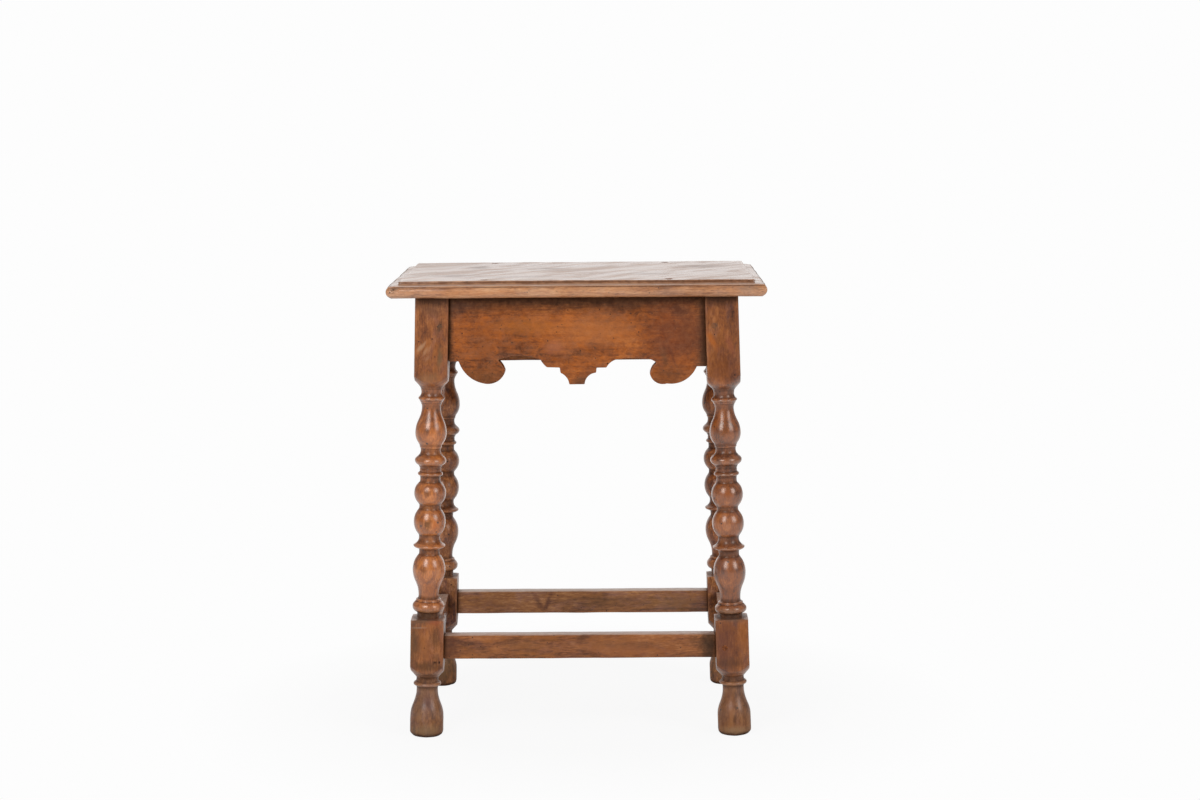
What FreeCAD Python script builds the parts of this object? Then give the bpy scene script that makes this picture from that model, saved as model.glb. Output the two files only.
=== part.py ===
import FreeCAD, Part
import math
import os
import re
import Sketcher

# A joined stool in solid walnut.
# Four turned legs lean outwards to the left and right. Four rails and four stretchers
# are tenoned into their square blocks and pegged, the front rail is cut to a scalloped
# outline, and the moulded board is pegged down on the frame.
# Lengths are in mm. X runs left to right, -Y is the front, Z is up, and the origin is
# on the floor below the middle of the board.

Vector = FreeCAD.Vector
Placement = FreeCAD.Placement
Rotation = FreeCAD.Rotation
SAME_PLACE = 1e-6                   # two places closer than this are one

# Driving dimensions
FRAME_SIZES = {
    "leg_square": 40.0,             # side of the square blank that each leg is turned from
    "leg_rake": 1.8,                # outward lean of each leg, in degrees
    "saw_allowance": 4.0,           # blank left long at both ends, sawn level afterwards
    "overrun": 1.0,                 # how far a cut runs past the wood
}
RAIL_SIZES = {
    "rail_depth": 106.0,
    "rail_thickness": 20.0,
    "rail_recess": 6.0,             # rail face behind the leg's outer face
    "rail_haunch": 10.0,            # wood left above the mortise
    "rail_tenon_height": 50.0,
    "rail_tenon_thickness": 8.0,
    "rail_tenon_length": 18.0,
    "scallop_rise": 35.5,           # crown of the arches above the lowest lobe
}
STRETCHER_SIZES = {
    "stretcher_level": 95.0,        # underside above the floor
    "stretcher_height": 29.0,
    "stretcher_thickness": 20.0,
    "stretcher_tenon_height": 21.0,
    "stretcher_tenon_thickness": 6.0,
    "stretcher_tenon_length": 15.0,
}
JOINT_SIZES = {
    "mortise_clearance": 0.15,      # on each side of a tenon
    "mortise_end_clearance": 0.5,   # beyond the end of a tenon
    "peg_diameter": 7.5,
    "peg_length": 24.0,
    "peg_setback": 10.0,            # peg axis behind the tenon's shoulder
    "peg_clearance": 0.15,
    "board_peg_inset": 41.5,        # from the leg's inner face, along the rail
    "board_peg_grip": 26.0,         # length of a board peg inside the rail
}
BOARD_SIZES = {
    "board_length": 450.0,
    "board_width": 332.0,
    "board_thickness": 20.0,
    "end_overhang": 33.5,           # board past the outer faces of the legs, at each end
    "side_overhang": 16.0,          # the same at front and rear
    "field_margin": 14.0,           # raised field inside the board's edge
    "field_rise": 3.6,
    "ledge_fall": 2.0,
    "quirk_depth": 0.8,
    "brow_setback": 2.4,            # upper end of the rounded edge, inside its crown
    "crown_height": 8.4,            # widest point of the rounded edge above the underside
    "arris_setback": 6.0,           # lower end of the rounded edge, inside its crown
}
# Turned profile of a leg, from the floor up: a rise along the axis or a radius about it
FOOT_SIZES = {
    "sole_radius": 17.0,
    "sole_round": 5.0,
    "foot_radius": 20.5,
    "foot_belly": 12.0,
    "foot_taper": 36.0,
    "ankle_radius": 12.6,
    "ankle_rise": 7.5,
    "ankle_bead_root": 13.9,
    "ankle_bead_radius": 16.4,
    "ankle_bead_rise": 5.5,
    "collar_radius": 13.1,
    "collar_rise": 6.5,
}
BLOCK_SIZES = {
    "lower_shoulder_radius": 13.9,
    "lower_shoulder_rise": 17.5,
    "lower_block_rise": 55.0,
    "upper_shoulder_radius": 14.3,
    "upper_shoulder_rise": 14.0,
    "upper_block_rise": 92.6,
}
SHAFT_SIZES = {
    "base_neck_radius": 13.4,
    "base_neck_rise": 7.8,
    "base_bead_root": 15.2,
    "base_bead_radius": 19.1,
    "base_bead_rise": 12.8,
    "base_fillet_radius": 14.9,
    "base_fillet_rise": 3.2,
    "lower_vase_neck_radius": 12.0,
    "lower_vase_neck_rise": 5.2,
    "lower_vase_radius": 19.4,
    "lower_vase_taper": 30.5,
    "lower_vase_crown": 17.7,
    "lower_vase_mouth": 13.0,
    "drip_neck_radius": 12.1,
    "drip_neck_rise": 7.0,
    "drip_underside_radius": 17.4,
    "drip_underside_rise": 2.2,
    "drip_radius": 19.1,
    "drip_round": 2.2,
    "drip_lip": 0.8,
    "drip_cove": 8.6,
    "drip_top_radius": 12.5,
    "drip_top_rise": 4.2,
    "ball_root": 13.2,
    "lower_ball_radius": 19.1,
    "lower_ball_rise": 31.2,
    "ball_neck_radius": 12.7,
    "ball_neck_rise": 6.3,
    "upper_ball_radius": 19.0,
    "upper_ball_rise": 26.6,
    "ring_neck_radius": 12.1,
    "ring_neck_rise": 8.4,
    "ring_root": 13.3,
    "ring_radius": 15.1,
    "ring_rise": 4.2,
    "bead_neck_radius": 12.7,
    "bead_neck_rise": 4.2,
    "bead_cove": 5.0,
    "bead_root": 15.2,
    "bead_radius": 18.8,
    "bead_rise": 10.0,
    "cove_radius": 11.9,
    "cove_rise": 7.0,
    "cove_neck_rise": 3.6,
    "vase_fillet_radius": 13.3,
    "vase_fillet_rise": 3.6,
    "upper_vase_radius": 18.7,
    "upper_vase_base": 14.1,
    "upper_vase_taper": 32.0,
    "throat_radius": 11.1,
    "throat_cove": 5.5,
    "collarette_radius": 13.4,
    "collarette_rise": 2.0,
    "collarette_bead_radius": 15.6,
    "collarette_bead_rise": 4.8,
    "scotia_radius": 12.1,
    "scotia_fall": 4.7,
    "scotia_climb": 6.3,
    "top_fillet_radius": 13.9,
    "top_fillet_rise": 1.5,
}

# Scalloped lower edge of the front rail, from the leg to the middle of the rail.
# Each place is a share of the half length between the legs, and a share of the rise.
# The two halves were sawn by eye, so each has its own outline.
LEFT_SCALLOP_SHARES = (
    ("shoulder", (0.913, 0.817)),
    ("arc", (0.851, 0.366), (0.725, 0.070)),
    ("arc", (0.606, 0.160), (0.553, 0.470)),
    ("arc", (0.571, 0.660), (0.608, 0.859)),
    ("arc", (0.458, 1.000), (0.285, 0.859)),
    ("arc", (0.258, 0.700), (0.236, 0.600)),
    ("line", (0.136, 0.586)),
    ("line", (0.131, 0.411)),
    ("arc", (0.090, 0.290), (0.063, 0.020)),
)
RIGHT_SCALLOP_SHARES = (
    ("shoulder", (0.919, 0.606)),
    ("arc", (0.836, 0.160), (0.690, 0.020)),
    ("arc", (0.588, 0.125), (0.557, 0.363)),
    ("arc", (0.573, 0.560), (0.608, 0.732)),
    ("arc", (0.580, 0.820), (0.540, 0.868)),
    ("arc", (0.435, 0.895), (0.330, 0.868)),
    ("arc", (0.262, 0.760), (0.225, 0.577)),
    ("line", (0.150, 0.577)),
    ("line", (0.146, 0.408)),
    ("arc", (0.084, 0.290), (0.058, 0.020)),
)

# Rises that add up to the length of a leg
FOOT_RISES = ("sole_round", "foot_belly", "foot_taper", "ankle_rise", "ankle_bead_rise",
              "collar_rise")
BLOCK_RISES = ("lower_shoulder_rise", "lower_block_rise", "upper_shoulder_rise",
               "upper_block_rise")
SHAFT_RISES = (
    "base_neck_rise", "base_bead_rise", "base_fillet_rise", "lower_vase_neck_rise",
    "lower_vase_taper", "lower_vase_crown", "drip_neck_rise", "drip_underside_rise",
    "drip_round", "drip_lip", "drip_cove", "drip_top_rise", "lower_ball_rise",
    "ball_neck_rise", "upper_ball_rise", "ring_neck_rise", "ring_rise", "bead_neck_rise",
    "bead_cove", "bead_rise", "cove_rise", "cove_neck_rise", "vase_fillet_rise",
    "upper_vase_base", "upper_vase_taper", "throat_cove", "collarette_rise",
    "collarette_bead_rise", "scotia_fall", "scotia_climb", "top_fillet_rise",
)

doc = FreeCAD.newDocument("JoinedStool")
sizes = doc.addObject("Spreadsheet::Sheet", "Sizes")
aliases = []


def add_size(alias, number):
    """Write one plain number into the sheet under its alias."""
    aliases.append(alias)
    row = len(aliases)
    sizes.set("A%d" % row, alias)
    sizes.set("B%d" % row, repr(number))
    sizes.setAlias("B%d" % row, alias)


for group in (FRAME_SIZES, RAIL_SIZES, STRETCHER_SIZES, JOINT_SIZES, BOARD_SIZES,
              FOOT_SIZES, BLOCK_SIZES, SHAFT_SIZES):
    for alias, number in group.items():
        add_size(alias, number)
doc.recompute()


def size(alias):
    """A size as the sheet holds it."""
    return float(sizes.get(alias))


# Sizes that follow from the driving ones
rake = math.radians(size("leg_rake"))
leg_length = sum(size(alias) for alias in FOOT_RISES + SHAFT_RISES + BLOCK_RISES)
frame_height = leg_length * math.cos(rake)
frame_length = size("board_length") - 2 * size("end_overhang") - size("leg_square")
frame_depth = size("board_width") - 2 * size("side_overhang") - size("leg_square")
add_size("leg_length", leg_length)
add_size("frame_height", frame_height)
add_size("frame_length", frame_length)      # between the leg axes under the board
add_size("frame_depth", frame_depth)
add_size("foot_spread", frame_length / 2 + frame_height * math.tan(rake))
add_size("board_peg_reach", frame_length / 2 - size("leg_square") / 2 - size("board_peg_inset"))
add_size("rail_offset", size("leg_square") / 2 - size("rail_recess") - size("rail_thickness") / 2)
add_size("rail_tenon_level", leg_length - size("rail_haunch") - size("rail_tenon_height"))
add_size("stretcher_tenon_level", size("stretcher_level")
         + (size("stretcher_height") - size("stretcher_tenon_height")) / 2)
doc.recompute()
half_leg = size("leg_square") / 2


def bound(text):
    """An expression in which every alias names its cell of the sheet."""
    return re.sub(r"[a-z_]+", lambda word: "Sizes." + word.group(0)
                  if word.group(0) in aliases else word.group(0), text)


def worth(text):
    """What an expression of aliases comes to."""
    return float(sizes.evalExpression(bound(text)))


def new_body(label):
    body = doc.addObject("PartDesign::Body", label)
    body.Label = label
    return body


def new_sketch(body, name, role, offset="0"):
    """A sketch on one of the body's own planes, moved along that plane's normal."""
    sketch = body.newObject("Sketcher::SketchObject", name)
    plane = [item for item in body.Origin.OriginFeatures if item.Role == role][0]
    sketch.AttachmentSupport = [(plane, "")]
    sketch.MapMode = "FlatFace"
    sketch.setExpression("AttachmentOffset.Base.z", bound(offset))
    return sketch


def draw_rectangle(sketch, left, bottom, width, height):
    """A rectangle whose place and size are bound to the sheet."""
    first = sketch.GeometryCount
    x, y, w, h = worth(left), worth(bottom), worth(width), worth(height)
    corners = [Vector(x, y, 0), Vector(x + w, y, 0), Vector(x + w, y + h, 0), Vector(x, y + h, 0)]
    for index, corner in enumerate(corners):
        sketch.addGeometry(Part.LineSegment(corner, corners[(index + 1) % 4]), False)
    for index in range(4):
        following = first + (index + 1) % 4
        sketch.addConstraint(Sketcher.Constraint("Coincident", first + index, 2, following, 1))
        way = "Horizontal" if index % 2 == 0 else "Vertical"
        sketch.addConstraint(Sketcher.Constraint(way, first + index))
    for name, kind, places, text in (
            ("left", "DistanceX", (-1, 1, first, 1), left),
            ("bottom", "DistanceY", (-1, 1, first, 1), bottom),
            ("width", "DistanceX", (first, 1, first, 2), width),
            ("height", "DistanceY", (first + 1, 1, first + 1, 2), height)):
        added = sketch.addConstraint(Sketcher.Constraint(kind, *places, worth(text)))
        sketch.renameConstraint(added, "%s%d" % (name, first))
        sketch.setExpression(".Constraints.%s%d" % (name, first), bound(text))


def draw_circle(sketch, x, y, radius):
    """A circle bound to the sheet by its centre and radius."""
    first = sketch.GeometryCount
    centre = Vector(worth(x), worth(y), 0)
    sketch.addGeometry(Part.Circle(centre, Vector(0, 0, 1), worth(radius)), False)
    for name, kind, places, text in (
            ("across", "DistanceX", (-1, 1, first, 3), x),
            ("up", "DistanceY", (-1, 1, first, 3), y),
            ("radius", "Radius", (first,), radius)):
        added = sketch.addConstraint(Sketcher.Constraint(kind, *places, worth(text)))
        sketch.renameConstraint(added, "%s%d" % (name, first))
        sketch.setExpression(".Constraints.%s%d" % (name, first), bound(text))


def draw_outline(sketch, edges):
    """A closed outline of worked out lines and arcs, held where it is."""
    for edge in edges:
        added = sketch.addGeometry(edge, False)
        sketch.addConstraint(Sketcher.Constraint("Block", added))


def draw_polygon(sketch, corners):
    edges = []
    for index, corner in enumerate(corners):
        edges.append(Part.LineSegment(corner, corners[(index + 1) % len(corners)]))
    draw_outline(sketch, edges)


def pad(body, sketch, length, both_sides=True):
    feature = body.newObject("PartDesign::Pad", sketch.Name + "Pad")
    feature.Profile = sketch
    feature.SideType = "Symmetric" if both_sides else "One side"
    feature.setExpression("Length", bound(length))
    return feature


def pocket(body, sketch, length):
    """A cut to both sides of its sketch. It has to take wood away."""
    doc.recompute()
    before = body.Shape.Volume
    feature = body.newObject("PartDesign::Pocket", sketch.Name + "Pocket")
    feature.Profile = sketch
    feature.SideType = "Symmetric"
    feature.setExpression("Length", bound(length))
    doc.recompute()
    if not body.Shape.Volume < before:
        raise RuntimeError("%s takes nothing from %s" % (sketch.Name, body.Label))
    return feature


class RisingOutline:
    """Outline of a turning or a moulding, drawn upwards beside the axis: 1 right of it, -1 left."""

    def __init__(self, radius, height, side=1):
        self.radius = radius
        self.height = height
        self.side = side
        self.edges = []

    def here(self):
        return Vector(self.side * self.radius, self.height, 0)

    def move(self, radius, rise):
        """Go on to a radius, so far up the axis, and return both ends of the step."""
        start = self.here()
        self.radius = radius
        self.height += rise
        return start, self.here()

    def straight(self, radius, rise):
        start, end = self.move(radius, rise)
        if start.distanceToPoint(end) > SAME_PLACE:
            self.edges.append(Part.LineSegment(start, end))

    def step(self, radius):
        self.straight(radius, 0)

    def curve(self, radius, rise, upright_at_end):
        """An arc that runs parallel to the axis at its start or at its end."""
        across = radius - self.radius
        if abs(across) < SAME_PLACE:
            self.straight(radius, rise)
            return
        half_turn = math.atan2(abs(across), rise)
        bend = (across ** 2 + rise ** 2) / (2 * abs(across))
        sideways = math.copysign(bend * (1 - math.cos(half_turn)), across)
        from_upright = Vector(self.side * sideways, bend * math.sin(half_turn), 0)
        start, end = self.move(radius, rise)
        middle = end - from_upright if upright_at_end else start + from_upright
        self.edges.append(Part.Arc(start, middle, end))

    def ogee(self, radius, rise):
        """Two equal arcs that meet half way and run parallel to the axis at both ends."""
        halfway = (self.radius + radius) / 2
        self.curve(halfway, rise / 2, upright_at_end=False)
        self.curve(radius, rise / 2, upright_at_end=True)

    def bead(self, radius, rise):
        """A round that swells to the radius and comes back to where it began."""
        start, end = self.move(self.radius, rise)
        crown = Vector(self.side * radius, (start.y + end.y) / 2, 0)
        self.edges.append(Part.Arc(start, crown, end))


def leg_waste():
    """What the lathe takes off the square blank, as one closed outline beside the axis."""
    clear = half_leg * math.sqrt(2) + size("overrun")
    outside = clear + size("overrun")
    profile = RisingOutline(size("sole_radius"), -size("saw_allowance"))
    profile.straight(size("sole_radius"), size("saw_allowance"))
    # Foot, ankle and lower block
    profile.curve(size("foot_radius"), size("sole_round"), upright_at_end=True)
    profile.straight(size("foot_radius"), size("foot_belly"))
    profile.ogee(size("ankle_radius"), size("foot_taper"))
    profile.straight(size("ankle_radius"), size("ankle_rise"))
    profile.step(size("ankle_bead_root"))
    profile.bead(size("ankle_bead_radius"), size("ankle_bead_rise"))
    profile.step(size("collar_radius"))
    profile.straight(size("collar_radius"), size("collar_rise"))
    profile.step(size("lower_shoulder_radius"))
    profile.straight(clear, size("lower_shoulder_rise"))
    profile.straight(clear, size("lower_block_rise"))
    # Base bead and the vase that stands on it
    profile.step(size("base_neck_radius"))
    profile.straight(size("base_neck_radius"), size("base_neck_rise"))
    profile.step(size("base_bead_root"))
    profile.bead(size("base_bead_radius"), size("base_bead_rise"))
    profile.step(size("base_fillet_radius"))
    profile.straight(size("base_fillet_radius"), size("base_fillet_rise"))
    profile.step(size("lower_vase_neck_radius"))
    profile.straight(size("lower_vase_neck_radius"), size("lower_vase_neck_rise"))
    profile.ogee(size("lower_vase_radius"), size("lower_vase_taper"))
    profile.curve(size("lower_vase_mouth"), size("lower_vase_crown"), upright_at_end=False)
    # Drip ring with a cove above it
    profile.step(size("drip_neck_radius"))
    profile.straight(size("drip_neck_radius"), size("drip_neck_rise"))
    profile.straight(size("drip_underside_radius"), size("drip_underside_rise"))
    profile.curve(size("drip_radius"), size("drip_round"), upright_at_end=True)
    profile.straight(size("drip_radius"), size("drip_lip"))
    profile.curve(size("drip_top_radius"), size("drip_cove"), upright_at_end=True)
    profile.straight(size("drip_top_radius"), size("drip_top_rise"))
    # Two balls and the small ring over them
    profile.step(size("ball_root"))
    profile.bead(size("lower_ball_radius"), size("lower_ball_rise"))
    profile.step(size("ball_neck_radius"))
    profile.straight(size("ball_neck_radius"), size("ball_neck_rise"))
    profile.step(size("ball_root"))
    profile.bead(size("upper_ball_radius"), size("upper_ball_rise"))
    profile.step(size("ring_neck_radius"))
    profile.straight(size("ring_neck_radius"), size("ring_neck_rise"))
    profile.step(size("ring_root"))
    profile.bead(size("ring_radius"), size("ring_rise"))
    # Bead between two coves
    profile.step(size("bead_neck_radius"))
    profile.straight(size("bead_neck_radius"), size("bead_neck_rise"))
    profile.curve(size("bead_root"), size("bead_cove"), upright_at_end=False)
    profile.bead(size("bead_radius"), size("bead_rise"))
    profile.curve(size("cove_radius"), size("cove_rise"), upright_at_end=True)
    profile.straight(size("cove_radius"), size("cove_neck_rise"))
    # Upper vase, its collar and the shoulder of the upper block
    profile.step(size("vase_fillet_radius"))
    profile.straight(size("vase_fillet_radius"), size("vase_fillet_rise"))
    profile.curve(size("upper_vase_radius"), size("upper_vase_base"), upright_at_end=True)
    profile.ogee(size("throat_radius"), size("upper_vase_taper"))
    profile.curve(size("collarette_radius"), size("throat_cove"), upright_at_end=False)
    profile.straight(size("collarette_radius"), size("collarette_rise"))
    profile.bead(size("collarette_bead_radius"), size("collarette_bead_rise"))
    profile.curve(size("scotia_radius"), size("scotia_fall"), upright_at_end=True)
    profile.curve(size("collarette_radius"), size("scotia_climb"), upright_at_end=False)
    profile.step(size("top_fillet_radius"))
    profile.straight(size("top_fillet_radius"), size("top_fillet_rise"))
    profile.step(size("upper_shoulder_radius"))
    profile.straight(clear, size("upper_shoulder_rise"))
    profile.straight(clear, size("upper_block_rise") + size("saw_allowance"))
    profile.step(outside)
    bottom = -size("saw_allowance")
    profile.edges.append(Part.LineSegment(Vector(outside, profile.height, 0),
                                          Vector(outside, bottom, 0)))
    profile.edges.append(Part.LineSegment(Vector(outside, bottom, 0),
                                          Vector(size("sole_radius"), bottom, 0)))
    return profile.edges


def along_leg(across, level):
    """Height along a left leg's axis of a point at that level, so far right of the axis."""
    return (level + across * math.sin(rake)) / math.cos(rake)


def on_leg(side, inward, along):
    """Place in the XZ plane of a point given in the frame of a leg on that side."""
    x = -size("foot_spread") + inward * math.cos(rake) + along * math.sin(rake)
    z = -inward * math.sin(rake) + along * math.cos(rake)
    return Vector(-side * x, z, 0)


def shoulder_x(side, level):
    """Where the inner face of a leg on that side is at a level."""
    return on_leg(side, half_leg, along_leg(half_leg, level)).x


def tip_to_side(item, side, y_text):
    """Stand a piece in the frame of the legs on one side: -1 is left, 1 is right."""
    item.Placement = Placement(Vector(0, 0, 0), Rotation(Vector(0, 1, 0), -side * size("leg_rake")))
    item.setExpression("Placement.Base.x", bound("%d * foot_spread" % side))
    item.setExpression("Placement.Base.y", bound(y_text))


def signed(sign, text):
    return "%d * (%s)" % (sign, text)


def span(sign, near, far):
    """Start and width of a stretch between two distances on one side of the axis."""
    start = signed(sign, near) if sign > 0 else signed(sign, far)
    return start, "(%s) - (%s)" % (far, near)


def make_leg(label, side, end):
    """One leg. side is -1 left or 1 right, end is -1 front or 1 rear."""
    body = new_body(label)
    blank = new_sketch(body, label + "_blank", "XY_Plane", "-saw_allowance")
    draw_rectangle(blank, "-leg_square / 2", "-leg_square / 2", "leg_square", "leg_square")
    pad(body, blank, "leg_length + 2 * saw_allowance", both_sides=False)
    doc.recompute()
    before = body.Shape.Volume
    waste = new_sketch(body, label + "_turning", "XZ_Plane")
    draw_outline(waste, leg_waste())
    groove = body.newObject("PartDesign::Groove", label + "_lathe")
    groove.Profile = waste
    groove.ReferenceAxis = (waste, ["V_Axis"])
    groove.Angle = 360
    doc.recompute()
    if not body.Shape.Volume < before:
        raise RuntimeError("turning takes nothing from " + label)
    # Both ends are sawn level, the foot on the floor and the top under the board
    level = new_sketch(body, label + "_level", "XZ_Plane")
    reach = size("leg_square")
    for height, away in ((0, -1), (size("frame_height"), 1)):
        edge = [Vector(across, along_leg(-side * across, height), 0) for across in (-reach, reach)]
        beyond = Vector(0, away * 2 * size("saw_allowance"), 0)
        draw_polygon(level, [edge[0], edge[1], edge[1] + beyond, edge[0] + beyond])
    pocket(body, level, "2 * leg_square")
    # Mortises: the frame's long rails and stretchers enter along X, the short ones along Y
    for part, offset in (("rail", "rail_offset"), ("stretcher", "0")):
        near = "leg_square / 2 - %s_tenon_length - mortise_end_clearance" % part
        far = "leg_square / 2 + overrun"
        bottom = "%s_tenon_level - mortise_clearance" % part
        height = "%s_tenon_height + 2 * mortise_clearance" % part
        thickness = "%s_tenon_thickness + 2 * mortise_clearance" % part
        long_mortise = new_sketch(body, "%s_%s_x" % (label, part), "XZ_Plane", signed(-end, offset))
        start, width = span(-side, near, far)
        draw_rectangle(long_mortise, start, bottom, width, height)
        pocket(body, long_mortise, thickness)
        short_mortise = new_sketch(body, "%s_%s_y" % (label, part), "YZ_Plane", signed(side, offset))
        start, width = span(-end, near, far)
        draw_rectangle(short_mortise, start, bottom, width, height)
        pocket(body, short_mortise, thickness)
    # Peg holes, bored from the outer faces through the cheeks of the mortises
    middle = "leg_square / 2 - peg_length / 2"
    inward = "leg_square / 2 - peg_setback"
    radius = "peg_diameter / 2 + peg_clearance"
    front_bores = new_sketch(body, label + "_bores_y", "XZ_Plane", signed(-end, middle))
    side_bores = new_sketch(body, label + "_bores_x", "YZ_Plane", signed(side, middle))
    for part in ("rail", "stretcher"):
        centre = "%s_tenon_level + %s_tenon_height / 2" % (part, part)
        draw_circle(front_bores, signed(-side, inward), centre, radius)
        draw_circle(side_bores, signed(-end, inward), centre, radius)
    pocket(body, front_bores, "peg_length + 2 * overrun")
    pocket(body, side_bores, "peg_length + 2 * overrun")
    tip_to_side(body, side, signed(end, "frame_depth / 2"))
    return body


def shoulder_end(side, level):
    """End of a rail's outline on its shoulder line, at a level."""
    return Vector(shoulder_x(side, level), level, 0)


def straight_edge(low):
    """Plain lower edge of a long rail or stretcher, and its level at the two legs."""
    return [Part.LineSegment(shoulder_end(-1, low), shoulder_end(1, low))], low, low


def scallop_place(side, low, shares):
    """A place on the scalloped edge, from its shares of the half length and of the rise."""
    across, up = shares
    return Vector(shoulder_x(side, low) * across, low + size("scallop_rise") * up, 0)


def scalloped_edge(low):
    """Scalloped lower edge of the front rail, and its level at the two legs."""
    edges = []
    levels = []
    drop_ends = []
    for side, shares in ((-1, LEFT_SCALLOP_SHARES), (1, RIGHT_SCALLOP_SHARES)):
        here = scallop_place(side, low, shares[0][1])
        levels.append(here.y)
        edges.append(Part.LineSegment(shoulder_end(side, here.y), here))
        for kind, *places in shares[1:]:
            end = scallop_place(side, low, places[-1])
            if kind == "arc":
                edges.append(Part.Arc(here, scallop_place(side, low, places[0]), end))
            else:
                edges.append(Part.LineSegment(here, end))
            here = end
        drop_ends.append(here)
    edges.append(Part.LineSegment(*drop_ends))
    return edges, levels[0], levels[1]


def make_long_rail(label, part, end, lower_edge, top, low, offset):
    """A rail or stretcher along X with raked shoulders and a tenon at each end."""
    body = new_body(label)
    board = new_sketch(body, label + "_outline", "XZ_Plane")
    edges, left_level, right_level = lower_edge(low)
    left_top = shoulder_end(-1, top)
    right_top = shoulder_end(1, top)
    edges.append(Part.LineSegment(shoulder_end(-1, left_level), left_top))
    edges.append(Part.LineSegment(left_top, right_top))
    edges.append(Part.LineSegment(right_top, shoulder_end(1, right_level)))
    draw_outline(board, edges)
    pad(body, board, part + "_thickness")
    tenons = new_sketch(body, label + "_tenons", "XZ_Plane")
    bores = new_sketch(body, label + "_bores", "XZ_Plane")
    foot = size(part + "_tenon_level")
    head = foot + size(part + "_tenon_height")
    tip = half_leg - size(part + "_tenon_length")
    root = half_leg + size("overrun")
    for side in (-1, 1):
        corners = ((tip, foot), (root, foot), (root, head), (tip, head))
        draw_polygon(tenons, [on_leg(side, inward, along) for inward, along in corners])
        centre = on_leg(side, half_leg - size("peg_setback"), (foot + head) / 2)
        hole = size("peg_diameter") / 2 + size("peg_clearance")
        draw_outline(bores, [Part.Circle(centre, Vector(0, 0, 1), hole)])
    pad(body, tenons, part + "_tenon_thickness")
    pocket(body, bores, part + "_tenon_thickness + 2 * overrun")
    body.setExpression("Placement.Base.y", bound(signed(end, "frame_depth / 2 + " + offset)))
    return body


def make_short_rail(label, part, side, low, top, offset):
    """A rail or stretcher along Y, standing square to the raked legs of one side."""
    body = new_body(label)
    section = new_sketch(body, label + "_section", "XZ_Plane")
    middle = side * worth(offset)
    half = size(part + "_thickness") / 2
    corners = []
    for across, level in ((-half, low), (half, low), (half, top), (-half, top)):
        corners.append(Vector(middle + across, along_leg(-side * (middle + across), level), 0))
    draw_polygon(section, corners)
    pad(body, section, "frame_depth - leg_square")
    tenons = new_sketch(body, label + "_tenons", "XZ_Plane")
    left = "%s - %s_tenon_thickness / 2" % (signed(side, offset), part)
    draw_rectangle(tenons, left, part + "_tenon_level", part + "_tenon_thickness", part + "_tenon_height")
    pad(body, tenons, "frame_depth - leg_square + 2 * %s_tenon_length" % part)
    bores = new_sketch(body, label + "_bores", "YZ_Plane", signed(side, offset))
    for end in (-1, 1):
        draw_circle(bores, signed(end, "frame_depth / 2 - leg_square / 2 + peg_setback"),
                    "%s_tenon_level + %s_tenon_height / 2" % (part, part),
                    "peg_diameter / 2 + peg_clearance")
    pocket(body, bores, part + "_tenon_thickness + 2 * overrun")
    tip_to_side(body, side, "0")
    return body


def bore_for_board_pegs(body, middle, depth):
    """Two upright peg holes, cut to both sides of a level plane."""
    bores = new_sketch(body, body.Label + "_peg_bores", "XY_Plane", middle)
    for side in (-1, 1):
        rows = (-1, 1) if body.Label == "top_board" else (0,)
        for row in rows:
            draw_circle(bores, signed(side, "board_peg_reach"),
                        signed(row, "frame_depth / 2 + rail_offset"),
                        "peg_diameter / 2 + peg_clearance")
    pocket(body, bores, depth)


def moulding_waste(half_extent):
    """What the moulding planes take off both opposite edges of the board."""
    overrun = size("overrun")
    arris = half_extent - size("arris_setback")
    ovolo_rise = (size("board_thickness") - size("field_rise") - size("ledge_fall")
                  - size("quirk_depth") - size("crown_height"))
    edges = []
    for side in (-1, 1):
        outline = RisingOutline(arris, -overrun, side)
        outline.straight(arris, overrun)
        # Rounded edge, quirk and sloping ledge, then the side of the raised field
        outline.curve(half_extent, size("crown_height"), upright_at_end=True)
        outline.curve(half_extent - size("brow_setback"), ovolo_rise, upright_at_end=False)
        outline.straight(outline.radius, size("quirk_depth"))
        outline.straight(half_extent - size("field_margin"), size("ledge_fall"))
        outline.straight(outline.radius, size("field_rise") + overrun)
        # Back to the start, outside the wood
        outline.step(half_extent + overrun)
        outline.straight(outline.radius, -overrun - outline.height)
        outline.step(arris)
        edges += outline.edges
    return edges


def make_board():
    body = new_body("top_board")
    slab = new_sketch(body, "board_slab", "XY_Plane")
    draw_rectangle(slab, "-board_length / 2", "-board_width / 2", "board_length", "board_width")
    pad(body, slab, "board_thickness", both_sides=False)
    for name, role, extent, reach in (
            ("board_end_moulding", "XZ_Plane", "board_length", "board_width"),
            ("board_side_moulding", "YZ_Plane", "board_width", "board_length")):
        waste = new_sketch(body, name, role)
        draw_outline(waste, moulding_waste(size(extent) / 2))
        pocket(body, waste, reach + " + 2 * overrun")
    bore_for_board_pegs(body, "board_thickness / 2", "board_thickness + 2 * overrun")
    body.setExpression("Placement.Base.z", bound("frame_height"))
    return body


def make_peg(label, length, placement):
    peg = doc.addObject("Part::Cylinder", label)
    peg.setExpression("Radius", bound("peg_diameter / 2"))
    peg.setExpression("Height", bound(length))
    peg.Placement = placement
    return peg


def peg_group(label, pegs):
    group = doc.addObject("Part::Compound", label)
    group.Label = label
    group.Links = pegs
    return group


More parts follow.
